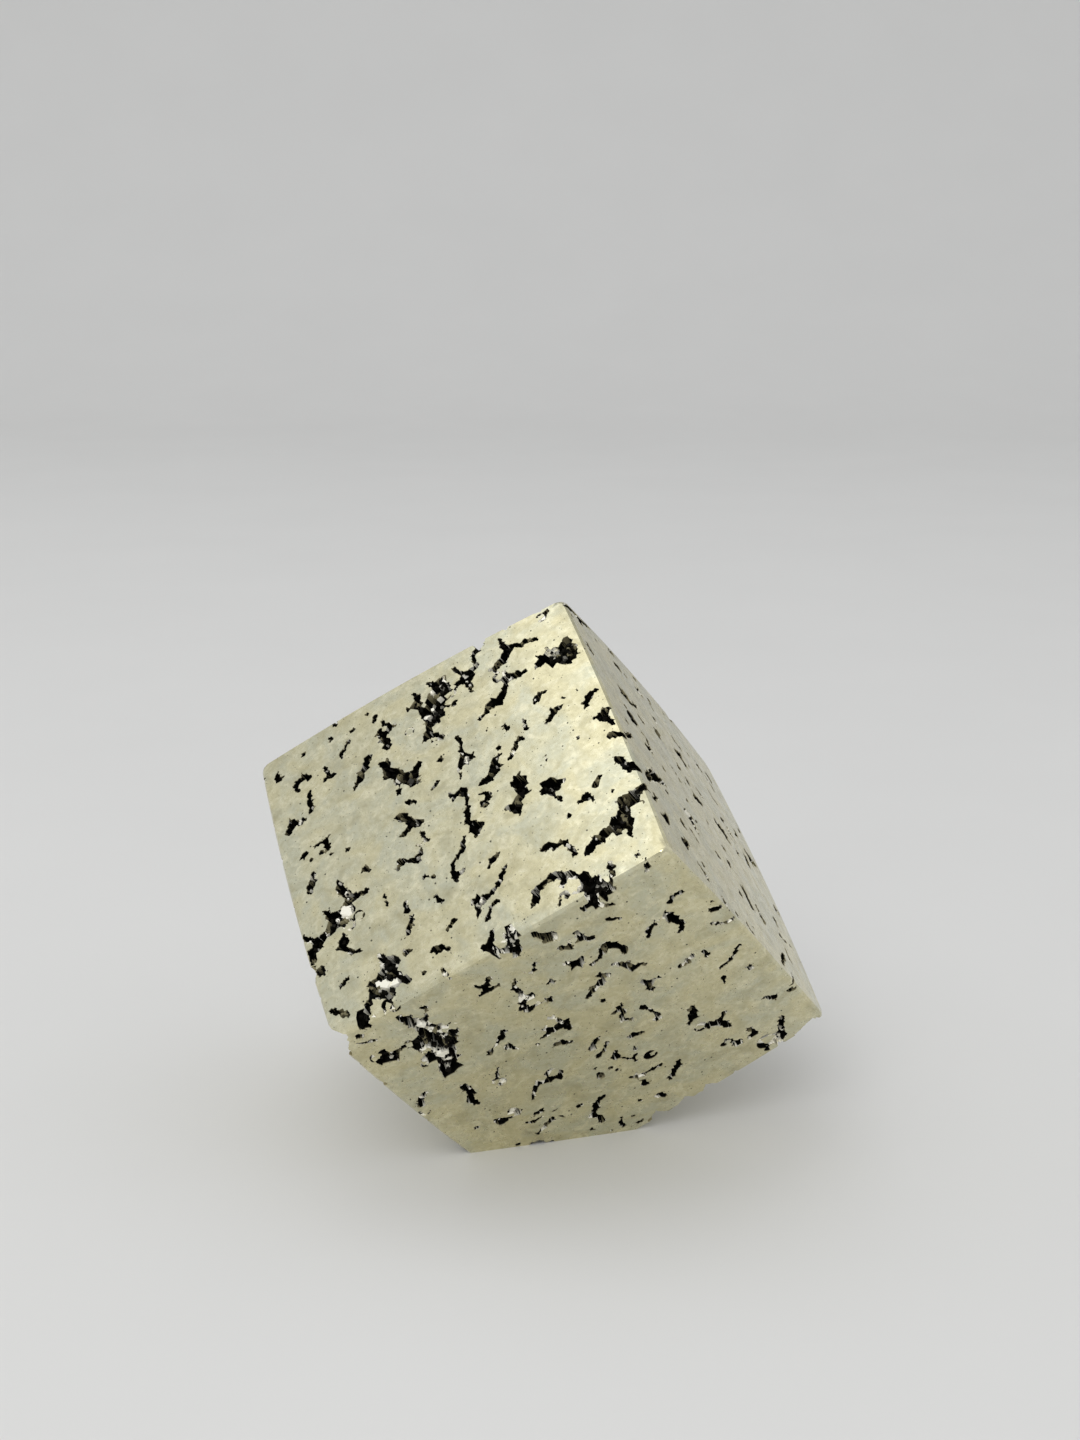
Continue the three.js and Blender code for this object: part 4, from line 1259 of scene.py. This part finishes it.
@dataclass
class PittedStone:
    """The polished cube with every face's vugs taken out of it."""

    crystal: Crystal
    first_seed: int = 41
    crease: float = 0.35
    # The brass tone of broken surfaces: the fresh break's own colour.
    break_tone: float = 0.42
    most_corners: int = 4
    deepest: float = 9.0
    fields: dict[Face, VugField] = field(default_factory=dict)

    def open_fields(self) -> None:
        """Work out the vugs of every face."""
        for index, face in enumerate(Face):
            bright_share = BRIGHT_SHARES.get(face, USUAL_BRIGHT_SHARE)
            strays, widest = STRAYS.get(face, USUAL_STRAYS)
            vugs = VugField(face, self.first_seed + index, bright_share, strays, widest)
            vugs.open_vugs(VUGS[face], GLINT_PATCHES.get(face, []))
            self.fields[face] = vugs

    def build(self, polish: bpy.types.Material, wall: bpy.types.Material) -> bpy.types.Object:
        """Make the stone.

        Args:
            polish: The polished faces' material.
            wall: The vug walls' material.

        Returns:
            Its object, in metres, with its depths, its grains' painted glints and its breaks' brass as
            attributes.
        """
        self.open_fields()
        mesh = bpy.data.meshes.new("pitted_cube")
        for finish in (polish, *[wall] * (len(Face) + 1)):
            mesh.materials.append(finish)
        shape = PolishedCube(self.crystal).build()
        LOG.info("polished cube: %d faces", len(shape.faces))
        shape.to_mesh(mesh)
        shape.free()
        stone = new_object("pitted_cube", mesh)
        fields = enumerate(self.fields.values(), start=1)
        cutters = [VugCutter(self.crystal, vugs, index).build() for index, vugs in fields]
        cutters += BrokenEdges(self.crystal, len(Face) + 1).build()
        for cutter in cutters:
            step = stone.modifiers.new(cutter.name, "BOOLEAN")
            step.operation = "DIFFERENCE"
            step.solver = "MANIFOLD"
            step.object = cutter
        cut = evaluated(stone)
        stone.modifiers.clear()
        for cutter in cutters:
            bpy.data.meshes.remove(cutter.data)
        stone.data = self.finished(cut)
        bpy.data.meshes.remove(mesh)
        return stone

    def finished(self, mesh: bpy.types.Mesh) -> bpy.types.Mesh:
        """Clean the cut stone, mark its creases and bring it to metres.

        Args:
            mesh: The cut stone, in millimetres.

        Returns:
            The same mesh, finished.
        """
        shape = bmesh.new()
        shape.from_mesh(mesh)
        wide = [side for side in shape.faces if len(side.verts) > self.most_corners]
        bmesh.ops.triangulate(shape, faces=wide)
        self.drop_crumbs(shape)
        for side in shape.faces:
            side.smooth = True
        for edge in shape.edges:
            edge.smooth = edge.is_manifold and edge.calc_face_angle() < self.crease
        torn = sum(not edge.is_manifold for edge in shape.edges)
        LOG.info("pitted cube: %d faces, %d torn edges", len(shape.faces), torn)
        shape.to_mesh(mesh)
        shape.free()
        self.mark(mesh)
        mesh.transform(Matrix.Scale(MM, 4))
        mesh.name = "pitted_cube"
        return mesh

    @staticmethod
    def drop_crumbs(shape: bmesh.types.BMesh) -> None:
        """Delete whatever the vugs cut loose from the stone.

        Args:
            shape: The cut stone.
        """
        left = set(shape.faces)
        lumps = []
        while left:
            lump = [left.pop()]
            for side in lump:
                near = {other for edge in side.edges for other in edge.link_faces} & left
                left -= near
                lump.extend(near)
            lumps.append(lump)
        lumps.sort(key=len)
        crumbs = [side for lump in lumps[:-1] for side in lump]
        LOG.info("crumbs: %d", len(lumps) - 1)
        bmesh.ops.delete(shape, geom=crumbs, context="FACES")

    def mark(self, mesh: bpy.types.Mesh) -> None:
        """Store how deep each point lies, how bright its grain is painted as a painted highlight or painted
        shade, with a break's own brass tone, and whether it is a break.

        Args:
            mesh: The stone, in millimetres.
        """
        points = np.array([vert.co for vert in mesh.vertices])
        depths = self.crystal.depths(self.crystal.flatten(points))
        middles = np.array([side.center for side in mesh.polygons])
        flat = self.crystal.flatten(middles)
        cuts = np.array([side.material_index for side in mesh.polygons])
        broken = cuts > len(Face)
        # The glint holds the grains' painted highlights and painted shade, and a break's own brass tone.
        glint = np.where(broken, self.break_tone, 0.0)
        for index, face in enumerate(Face, start=1):
            mine = cuts == index
            glint[mine] = self.fields[face].glint_at(self.crystal.rulers[face].read(flat[mine]))
        mesh.polygons.foreach_set("material_index", np.minimum(cuts, 1).astype(np.int32))
        while len(mesh.materials) > 2:
            mesh.materials.pop()
        LOG.info("vug walls: %d of %d", int((cuts > 0).sum()), len(cuts))
        for name, kind, domain, values in (
            ("depth", "FLOAT", "POINT", np.clip(depths, 0, self.deepest).astype(np.float32)),
            ("glint", "FLOAT", "FACE", glint.astype(np.float32)),
            ("broken", "INT", "FACE", broken.astype(np.int32)),
        ):
            mesh.attributes.new(name, kind, domain).data.foreach_set("value", values)


def add_maths(tree: bpy.types.NodeTree, operation: str, a: Socket, b: Socket | float) -> Socket:
    """Add one sum to a tree.

    Args:
        tree: The tree.
        operation: The sum.
        a: Its first value.
        b: Its second value.

    Returns:
        The socket of its result.
    """
    made = tree.nodes.new("ShaderNodeMath")
    made.operation = operation
    tree.links.new(a, made.inputs[0])
    if isinstance(b, float):
        made.inputs[1].default_value = b
    else:
        tree.links.new(b, made.inputs[1])
    return made.outputs[0]


@dataclass
class VugCrystals:
    """The loose-standing crystals inside the vugs, set by Geometry Nodes."""

    stone: bpy.types.Object
    least_depth: float = 0.2
    spacing: float = 0.8
    largest: float = 0.75
    fill: float = 0.85
    lowest: float = 0.9
    crowd: float = 2.2e7
    sizes: Span = (0.5, 1.0)
    seed: int = 7

    def ground(self) -> bpy.types.Object:
        """Copy the deeper vug floors for the crystals to stand on.

        Returns:
            The copy's object.
        """
        shape = bmesh.new()
        shape.from_mesh(self.stone.data)
        depth = shape.verts.layers.float["depth"]
        broken = shape.faces.layers.int["broken"]
        bare = [
            side
            for side in shape.faces
            if side.material_index != 1
            or side[broken]
            or min(vert[depth] for vert in side.verts) < self.least_depth
            or min(vert.co.z for vert in side.verts) < self.lowest * MM
        ]
        bmesh.ops.delete(shape, geom=bare, context="FACES")
        mesh = bpy.data.meshes.new("vug_crystals")
        shape.to_mesh(mesh)
        shape.free()
        return new_object("vug_crystals", mesh)

    def tree(self) -> bpy.types.NodeTree:
        """Build the node tree that sets the crystals.

        Returns:
            The tree, whose inputs are its sizes, its seed and its material.
        """
        tree = bpy.data.node_groups.new("vug_crystals", "GeometryNodeTree")
        for name, kind in (
            ("Geometry", "Geometry"), ("Spacing", "Float"), ("Largest", "Float"), ("Fill", "Float"),
            ("Seed", "Int"), ("Material", "Material"),
        ):
            tree.interface.new_socket(name, in_out="INPUT", socket_type=f"NodeSocket{kind}")
        tree.interface.new_socket("Geometry", in_out="OUTPUT", socket_type="NodeSocketGeometry")
        nodes = tree.nodes
        link = tree.links.new
        given = nodes.new("NodeGroupInput")
        scatter = nodes.new("GeometryNodeDistributePointsOnFaces")
        scatter.distribute_method = "POISSON"
        scatter.inputs["Density Max"].default_value = self.crowd
        link(given.outputs["Geometry"], scatter.inputs["Mesh"])
        link(given.outputs["Spacing"], scatter.inputs["Distance Min"])
        link(given.outputs["Seed"], scatter.inputs["Seed"])
        depth = nodes.new("GeometryNodeInputNamedAttribute")
        depth.inputs["Name"].default_value = "depth"
        room = add_maths(tree, "MULTIPLY", depth.outputs["Attribute"], given.outputs["Fill"])
        room = add_maths(tree, "MULTIPLY", room, MM)
        room = add_maths(tree, "MINIMUM", room, given.outputs["Largest"])
        size = add_maths(tree, "MULTIPLY", room, self.chance(tree, self.sizes, SIZE_SEED))
        cube = nodes.new("GeometryNodeMeshCube")
        cube.inputs["Size"].default_value = (1, 1, 1)
        turn = nodes.new("FunctionNodeRandomValue")
        turn.data_type = "FLOAT_VECTOR"
        turn.inputs["Max"].default_value = (math.tau, math.tau, math.tau)
        turn.inputs["Seed"].default_value = TURN_SEED
        sets = nodes.new("GeometryNodeInstanceOnPoints")
        link(scatter.outputs["Points"], sets.inputs["Points"])
        link(cube.outputs["Mesh"], sets.inputs["Instance"])
        link(turn.outputs["Value"], sets.inputs["Rotation"])
        link(size, sets.inputs["Scale"])
        # Each crystal's glint: painted shade for most, a painted highlight for a few.
        shine = nodes.new("GeometryNodeStoreNamedAttribute")
        shine.data_type = "FLOAT"
        shine.domain = "INSTANCE"
        shine.inputs["Name"].default_value = "glint"
        link(sets.outputs["Instances"], shine.inputs["Geometry"])
        link(self.chance(tree, (0, 1), GLINT_SEED), shine.inputs["Value"])
        real = nodes.new("GeometryNodeRealizeInstances")
        paint = nodes.new("GeometryNodeSetMaterial")
        result = nodes.new("NodeGroupOutput")
        link(shine.outputs["Geometry"], real.inputs["Geometry"])
        link(real.outputs["Geometry"], paint.inputs["Geometry"])
        link(given.outputs["Material"], paint.inputs["Material"])
        link(paint.outputs["Geometry"], result.inputs["Geometry"])
        return tree

    @staticmethod
    def chance(tree: bpy.types.NodeTree, span: Span, seed: int) -> Socket:
        """Add a random value to a tree.

        Args:
            tree: The tree.
            span: Its least and greatest value.
            seed: Its seed.

        Returns:
            The socket of the value.
        """
        made = tree.nodes.new("FunctionNodeRandomValue")
        made.data_type = "FLOAT"
        made.inputs[2].default_value, made.inputs[3].default_value = span
        made.inputs["Seed"].default_value = seed
        return made.outputs[1]

    def build(self, finish: bpy.types.Material) -> bpy.types.Object:
        """Set the crystals.

        Args:
            finish: Their material.

        Returns:
            Their object.
        """
        piece = self.ground()
        tree = self.tree()
        step = piece.modifiers.new("crystals", "NODES")
        step.node_group = tree
        values = {
            "Spacing": self.spacing * MM,
            "Largest": self.largest * MM,
            "Fill": self.fill,
            "Seed": self.seed,
            "Material": finish,
        }
        for item in tree.interface.items_tree:
            if item.item_type == "SOCKET" and item.in_out == "INPUT" and item.name in values:
                step[item.identifier] = values[item.name]
        mesh = evaluated(piece)
        old = piece.data
        piece.modifiers.clear()
        piece.data = mesh
        bpy.data.meshes.remove(old)
        mesh.name = "vug_crystals"
        LOG.info("vug crystals: %d faces", len(mesh.polygons))
        return piece


@dataclass(frozen=True)
class Mottle:
    """Noise over a surface: its size in millimetres, finer layers and twist, and how it is stretched."""

    size: float
    layers: float
    twist: float = 0.0
    given: Span = (0, 1)
    wanted: Span = (0, 1)


@dataclass(frozen=True)
class Relief:
    """Fine bumps: their noise, how strongly they show and their height in millimetres."""

    noise: Mottle
    strength: float
    height: float


@dataclass(frozen=True)
class Specks:
    """Round specks: their gap in millimetres, and where they are full and gone, over the gap."""

    gap: float
    full: float
    gone: float


class Shader:
    """A material's node tree, built up one node at a time."""

    def __init__(self, name: str) -> None:
        """Start a material with one Principled shader.

        Args:
            name: The material's name.
        """
        self.material = bpy.data.materials.new(name)
        self.material.use_nodes = True
        self.tree = self.material.node_tree
        self.nodes = self.tree.nodes
        self.nodes.clear()
        self.principled = self.nodes.new("ShaderNodeBsdfPrincipled")
        output = self.nodes.new("ShaderNodeOutputMaterial")
        self.link(self.principled.outputs["BSDF"], output.inputs["Surface"])
        self.place = self.nodes.new("ShaderNodeTexCoord").outputs["Object"]

    def link(self, start: Socket, end: Socket) -> None:
        """Join two sockets."""
        self.tree.links.new(start, end)

    def feed(self, name: str, value: Socket) -> None:
        """Join a socket to one of the shader's own."""
        self.link(value, self.principled.inputs[name])

    def set(self, name: str, value: float) -> None:
        """Set one of the shader's own sockets."""
        self.principled.inputs[name].default_value = value

    def noise(self, look: Mottle) -> Socket:
        """Add noise, not yet stretched.

        Args:
            look: The noise.

        Returns:
            The socket of its value.
        """
        made = self.nodes.new("ShaderNodeTexNoise")
        made.inputs["Scale"].default_value = 1 / (look.size * MM)
        made.inputs["Detail"].default_value = look.layers
        made.inputs["Distortion"].default_value = look.twist
        self.link(self.place, made.inputs["Vector"])
        return made.outputs["Fac"]

    def mottle(self, look: Mottle) -> Socket:
        """Add noise, stretched as its look says."""
        return self.spread(self.noise(look), look.given, look.wanted)

    def specks(self, look: Specks) -> Socket:
        """Add round specks.

        Args:
            look: The specks.

        Returns:
            The socket of a value that is 1 on a speck and 0 off it.
        """
        made = self.nodes.new("ShaderNodeTexVoronoi")
        made.inputs["Scale"].default_value = 1 / (look.gap * MM)
        self.link(self.place, made.inputs["Vector"])
        return self.spread(made.outputs["Distance"], (look.full, look.gone), (1, 0))

    def spread(self, value: Socket, given: Span, wanted: Span = (0, 1)) -> Socket:
        """Map one range of a value to another.

        Args:
            value: The value.
            given: Its range.
            wanted: The range of the result.

        Returns:
            The socket of the result.
        """
        made = self.nodes.new("ShaderNodeMapRange")
        made.inputs["From Min"].default_value, made.inputs["From Max"].default_value = given
        made.inputs["To Min"].default_value, made.inputs["To Max"].default_value = wanted
        self.link(value, made.inputs["Value"])
        return made.outputs["Result"]

    def blend(self, share: Socket, a: Socket | Colour, b: Socket | Colour) -> Socket:
        """Blend two colours.

        Args:
            share: How much of the second.
            a: The first.
            b: The second.

        Returns:
            The socket of the blend.
        """
        made = self.nodes.new("ShaderNodeMix")
        made.data_type = "RGBA"
        self.link(share, made.inputs["Factor"])
        for name, colour in (("A", a), ("B", b)):
            socket = next(item for item in made.inputs if item.name == name and item.type == "RGBA")
            if isinstance(colour, tuple):
                socket.default_value = (*colour, 1)
            else:
                self.link(colour, socket)
        return next(item for item in made.outputs if item.type == "RGBA")

    def attribute(self, name: str) -> Socket:
        """Read one of the mesh's own values.

        Args:
            name: Its name.

        Returns:
            The socket of the value.
        """
        made = self.nodes.new("ShaderNodeAttribute")
        made.attribute_name = name
        return made.outputs["Fac"]

    def bump(self, look: Relief) -> None:
        """Raise the surface a little.

        Args:
            look: The bumps.
        """
        made = self.nodes.new("ShaderNodeBump")
        made.inputs["Strength"].default_value = look.strength
        made.inputs["Distance"].default_value = look.height * MM
        self.link(self.noise(look.noise), made.inputs["Height"])
        self.feed("Normal", made.outputs["Normal"])


@dataclass(frozen=True)
class PolishedPyrite:
    """The ground and polished faces: brass-grey metal, finely mottled, with tiny pinholes painted dark as
    painted shade.
    """

    brass: Colour = (0.70, 0.65, 0.42)
    grey: Colour = (0.635, 0.625, 0.46)
    cream: Colour = (0.86, 0.815, 0.58)
    dull: Colour = (0.46, 0.42, 0.25)
    # The pinholes' colour: painted shade standing in for the dark of the tiny pits.
    pinhole_shade: Colour = (0.05, 0.045, 0.03)
    clouds: Mottle = Mottle(6.0, 6, 0.6, (0.42, 0.6))
    veins: Mottle = Mottle(1.7, 7, 0.9, (0.48, 0.68), (0, 0.7))
    haze: Mottle = Mottle(3.0, 8, 0.5, (0.5, 0.72), (0, 0.6))
    grain: Mottle = Mottle(0.55, 6, 0.0, (0.45, 0.75), (0, 0.4))
    roughness: Mottle = Mottle(1.6, 6, 0.5, (0.35, 0.65), (0.18, 0.31))
    wide_pores: Specks = Specks(1.9, 0.05, 0.09)
    fine_pores: Specks = Specks(0.75, 0.06, 0.12)
    relief: Relief = Relief(Mottle(0.5, 5), 0.06, 0.012)

    def build(self) -> bpy.types.Material:
        """Make the material.

        Returns:
            The material.
        """
        shader = Shader("polished_pyrite")
        shader.set("Metallic", 1.0)
        colour = shader.blend(shader.mottle(self.clouds), self.brass, self.grey)
        colour = shader.blend(shader.mottle(self.veins), colour, self.cream)
        colour = shader.blend(shader.mottle(self.haze), colour, self.dull)
        colour = shader.blend(shader.mottle(self.grain), colour, self.dull)
        # Pinholes painted dark in the base colour: painted shade.
        wide = shader.specks(self.wide_pores)
        fine = shader.specks(self.fine_pores)
        pores = add_maths(shader.tree, "MAXIMUM", wide, fine)
        shader.feed("Base Color", shader.blend(pores, colour, self.pinhole_shade))
        shader.feed("Roughness", shader.mottle(self.roughness))
        shader.bump(self.relief)
        return shader.material


@dataclass(frozen=True)
class VugWall:
    """The open vugs' walls: brown at the rim and black deeper in, painted shade that is partly dark oxide,
    with grains painted brass and bright as painted glints, and breaks in their own brass.
    """

    # Brown at the rim and black deeper in: painted shade in the vugs, partly the dark oxide of the hollows.
    shade_and_oxide_black: Colour = (0.003, 0.003, 0.002)
    brown: Colour = (0.40, 0.36, 0.23)
    # Brass for the dull grains, a painted dim sheen, and for the breaks, their own colour; the painted
    # highlight for the bright grains.
    brass: Colour = (0.46, 0.41, 0.24)
    painted_highlight: Colour = (0.95, 0.92, 0.79)
    rim_depth: Span = (0.03, 0.14)
    brass_glint: Span = (0, 0.5)
    bright_glint: Span = (0.5, 0.8)
    metal: float = 0.45
    specular: float = 0.03
    roughness: float = 0.42
    relief: Relief = Relief(Mottle(0.25, 3), 0.3, 0.03)

    def build(self) -> bpy.types.Material:
        """Make the material.

        Returns:
            The material.
        """
        shader = Shader("vug_wall")
        shader.set("Specular IOR Level", self.specular)
        shader.set("Roughness", self.roughness)
        # Darker with depth, from brown to black: painted shade, partly dark oxide.
        depth_shade = shader.spread(shader.attribute("depth"), self.rim_depth)
        glint = shader.attribute("glint")
        colour = shader.blend(depth_shade, self.brown, self.shade_and_oxide_black)
        # The grains' painted glints over the shade: brass for dull grains and breaks, the painted highlight
        # for bright grains.
        colour = shader.blend(shader.spread(glint, self.brass_glint), colour, self.brass)
        colour = shader.blend(shader.spread(glint, self.bright_glint), colour, self.painted_highlight)
        shader.feed("Base Color", colour)
        shader.feed("Metallic", shader.spread(glint, (0, 1), (0, self.metal)))
        shader.bump(self.relief)
        return shader.material


@dataclass(frozen=True)
class VugCrystal:
    """The crystals in the vugs: most painted dark as painted shade, partly dark oxide, and some painted
    bright as painted highlights.
    """

    # Dark for painted shade, partly dark oxide, and the painted highlight for the bright crystals.
    shade_and_oxide_dark: Colour = (0.008, 0.007, 0.005)
    painted_highlight: Colour = (0.94, 0.91, 0.78)
    bright_glint: Span = (0.8, 0.84)
    metal: float = 0.45
    specular: float = 0.05
    roughness: float = 0.35
    relief: Relief = Relief(Mottle(0.12, 2), 0.15, 0.01)

    def build(self) -> bpy.types.Material:
        """Make the material.

        Returns:
            The material.
        """
        shader = Shader("vug_crystal")
        shader.set("Specular IOR Level", self.specular)
        shader.set("Roughness", self.roughness)
        share = shader.spread(shader.attribute("glint"), self.bright_glint)
        shader.feed("Base Color", shader.blend(share, self.shade_and_oxide_dark, self.painted_highlight))
        shader.feed("Metallic", shader.spread(share, (0, 1), (0, self.metal)))
        shader.bump(self.relief)
        return shader.material


@dataclass(frozen=True)
class PalePaper:
    """The floor and the wall behind it: plain and pale, very slightly uneven."""

    colour: Colour = (0.735, 0.73, 0.71)
    darkest: float = 0.985
    tint: Mottle = Mottle(60, 2, 0.0, (0.3, 0.7))
    specular: float = 0.1
    roughness: float = 0.85

    def build(self) -> bpy.types.Material:
        """Make the material.

        Returns:
            The material.
        """
        shader = Shader("pale_paper")
        shader.set("Specular IOR Level", self.specular)
        shader.set("Roughness", self.roughness)
        darker = tuple(part * self.darkest for part in self.colour)
        shader.feed("Base Color", shader.blend(shader.mottle(self.tint), self.colour, darker))
        return shader.material


@dataclass(frozen=True)
class SoftLight:
    """A square soft light: its name, place, aim and side in millimetres, and its power in watts."""

    name: str
    place: Place
    aim: Place
    side: float
    watts: float

    def hang(self) -> None:
        """Hang the light."""
        data = bpy.data.lights.new(self.name, "AREA")
        data.shape = "SQUARE"
        data.size = self.side * MM
        data.energy = self.watts
        light = bpy.data.objects.new(self.name, data)
        light.location = Vector(self.place) * MM
        way = Vector(self.aim) - Vector(self.place)
        light.rotation_euler = way.to_track_quat("-Z", "Y").to_euler()
        bpy.context.scene.collection.objects.link(light)


@dataclass
class Studio:
    """The floor, the lights and the camera."""

    camera_place: Place = (1.5, -289.15, 130.14)
    camera_pitch: float = 13.76
    lens: float = 54.1
    film: float = 36.0
    sight: Span = (0.01, 20)
    half_width: float = 1500.0
    front: float = -900.0
    back: float = 900.0
    sweep_radius: float = 500.0
    sweep_steps: int = 16
    wall_height: float = 1600.0
    air: Colour = (0.955, 0.97, 1.0)
    front_air: float = 0.53
    room_air: float = 0.74
    fade: Span = (-1.0, -0.1)
    ceiling: SoftLight = SoftLight("ceiling", (-330, 60, 1100), (0, 0, 30), 900, 1.9)
    fill: SoftLight = SoftLight("fill", (-350, -1200, 1000), (0, 0, 0), 900, 8)

    def place_camera(self) -> None:
        """Place the camera and make it the scene's."""
        data = bpy.data.cameras.new("camera")
        data.lens = self.lens
        data.sensor_fit = "VERTICAL"
        data.sensor_height = self.film
        data.clip_start, data.clip_end = self.sight
        camera = bpy.data.objects.new("camera", data)
        camera.location = Vector(self.camera_place) * MM
        camera.rotation_euler = (math.radians(90 - self.camera_pitch), 0, 0)
        bpy.context.scene.collection.objects.link(camera)
        bpy.context.scene.camera = camera

    def lay_floor(self, finish: bpy.types.Material) -> bpy.types.Object:
        """Lay a floor that sweeps up into a wall behind the stone.

        Args:
            finish: Its material.

        Returns:
            Its object.
        """
        profile = [(self.front, 0.0), (self.back, 0.0)]
        for step in range(1, self.sweep_steps + 1):
            turn = math.pi / 2 * step / self.sweep_steps
            away = self.back + self.sweep_radius * math.sin(turn)
            profile.append((away, self.sweep_radius * (1 - math.cos(turn))))
        profile.append((self.back + self.sweep_radius, self.wall_height))
        points = [(x, y, z) for x in (-self.half_width, self.half_width) for y, z in profile]
        count = len(profile)
        sides = [(i, i + count, i + count + 1, i + 1) for i in range(count - 1)]
        mesh = bpy.data.meshes.new("studio_floor")
        mesh.from_pydata([Vector(point) * MM for point in points], [], sides)
        mesh.materials.append(finish)
        mesh.polygons.foreach_set("use_smooth", [True] * len(sides))
        return new_object("studio_floor", mesh)

    def light(self) -> None:
        """Fill the room with soft light, a little weaker from the front."""
        world = bpy.data.worlds.new("soft_room")
        world.use_nodes = True
        tree = world.node_tree
        sky = tree.nodes["Background"]
        sky.inputs["Color"].default_value = (*self.air, 1)
        way = tree.nodes.new("ShaderNodeTexCoord").outputs["Generated"]
        parts = tree.nodes.new("ShaderNodeSeparateXYZ")
        fade = tree.nodes.new("ShaderNodeMapRange")
        fade.inputs["From Min"].default_value, fade.inputs["From Max"].default_value = self.fade
        fade.inputs["To Min"].default_value = self.front_air
        fade.inputs["To Max"].default_value = self.room_air
        tree.links.new(way, parts.inputs["Vector"])
        tree.links.new(parts.outputs["Y"], fade.inputs["Value"])
        tree.links.new(fade.outputs["Result"], sky.inputs["Strength"])
        bpy.context.scene.world = world
        self.ceiling.hang()
        self.fill.hang()
        bpy.context.scene.view_settings.view_transform = "Standard"


def main() -> None:
    """Build the stone, its crystals and the studio round it."""
    logging.basicConfig(level=logging.INFO, format="%(name)s: %(message)s")
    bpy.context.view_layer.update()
    studio = Studio()
    studio.place_camera()
    crystal = Crystal(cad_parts[NODE])
    stone = PittedStone(crystal).build(PolishedPyrite().build(), VugWall().build())
    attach(stone, BODY)
    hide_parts(NODE)
    crystals = VugCrystals(stone).build(VugCrystal().build())
    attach(crystals, BODY)
    studio.lay_floor(PalePaper().build())
    studio.light()


if __name__ == "__main__":
    main()
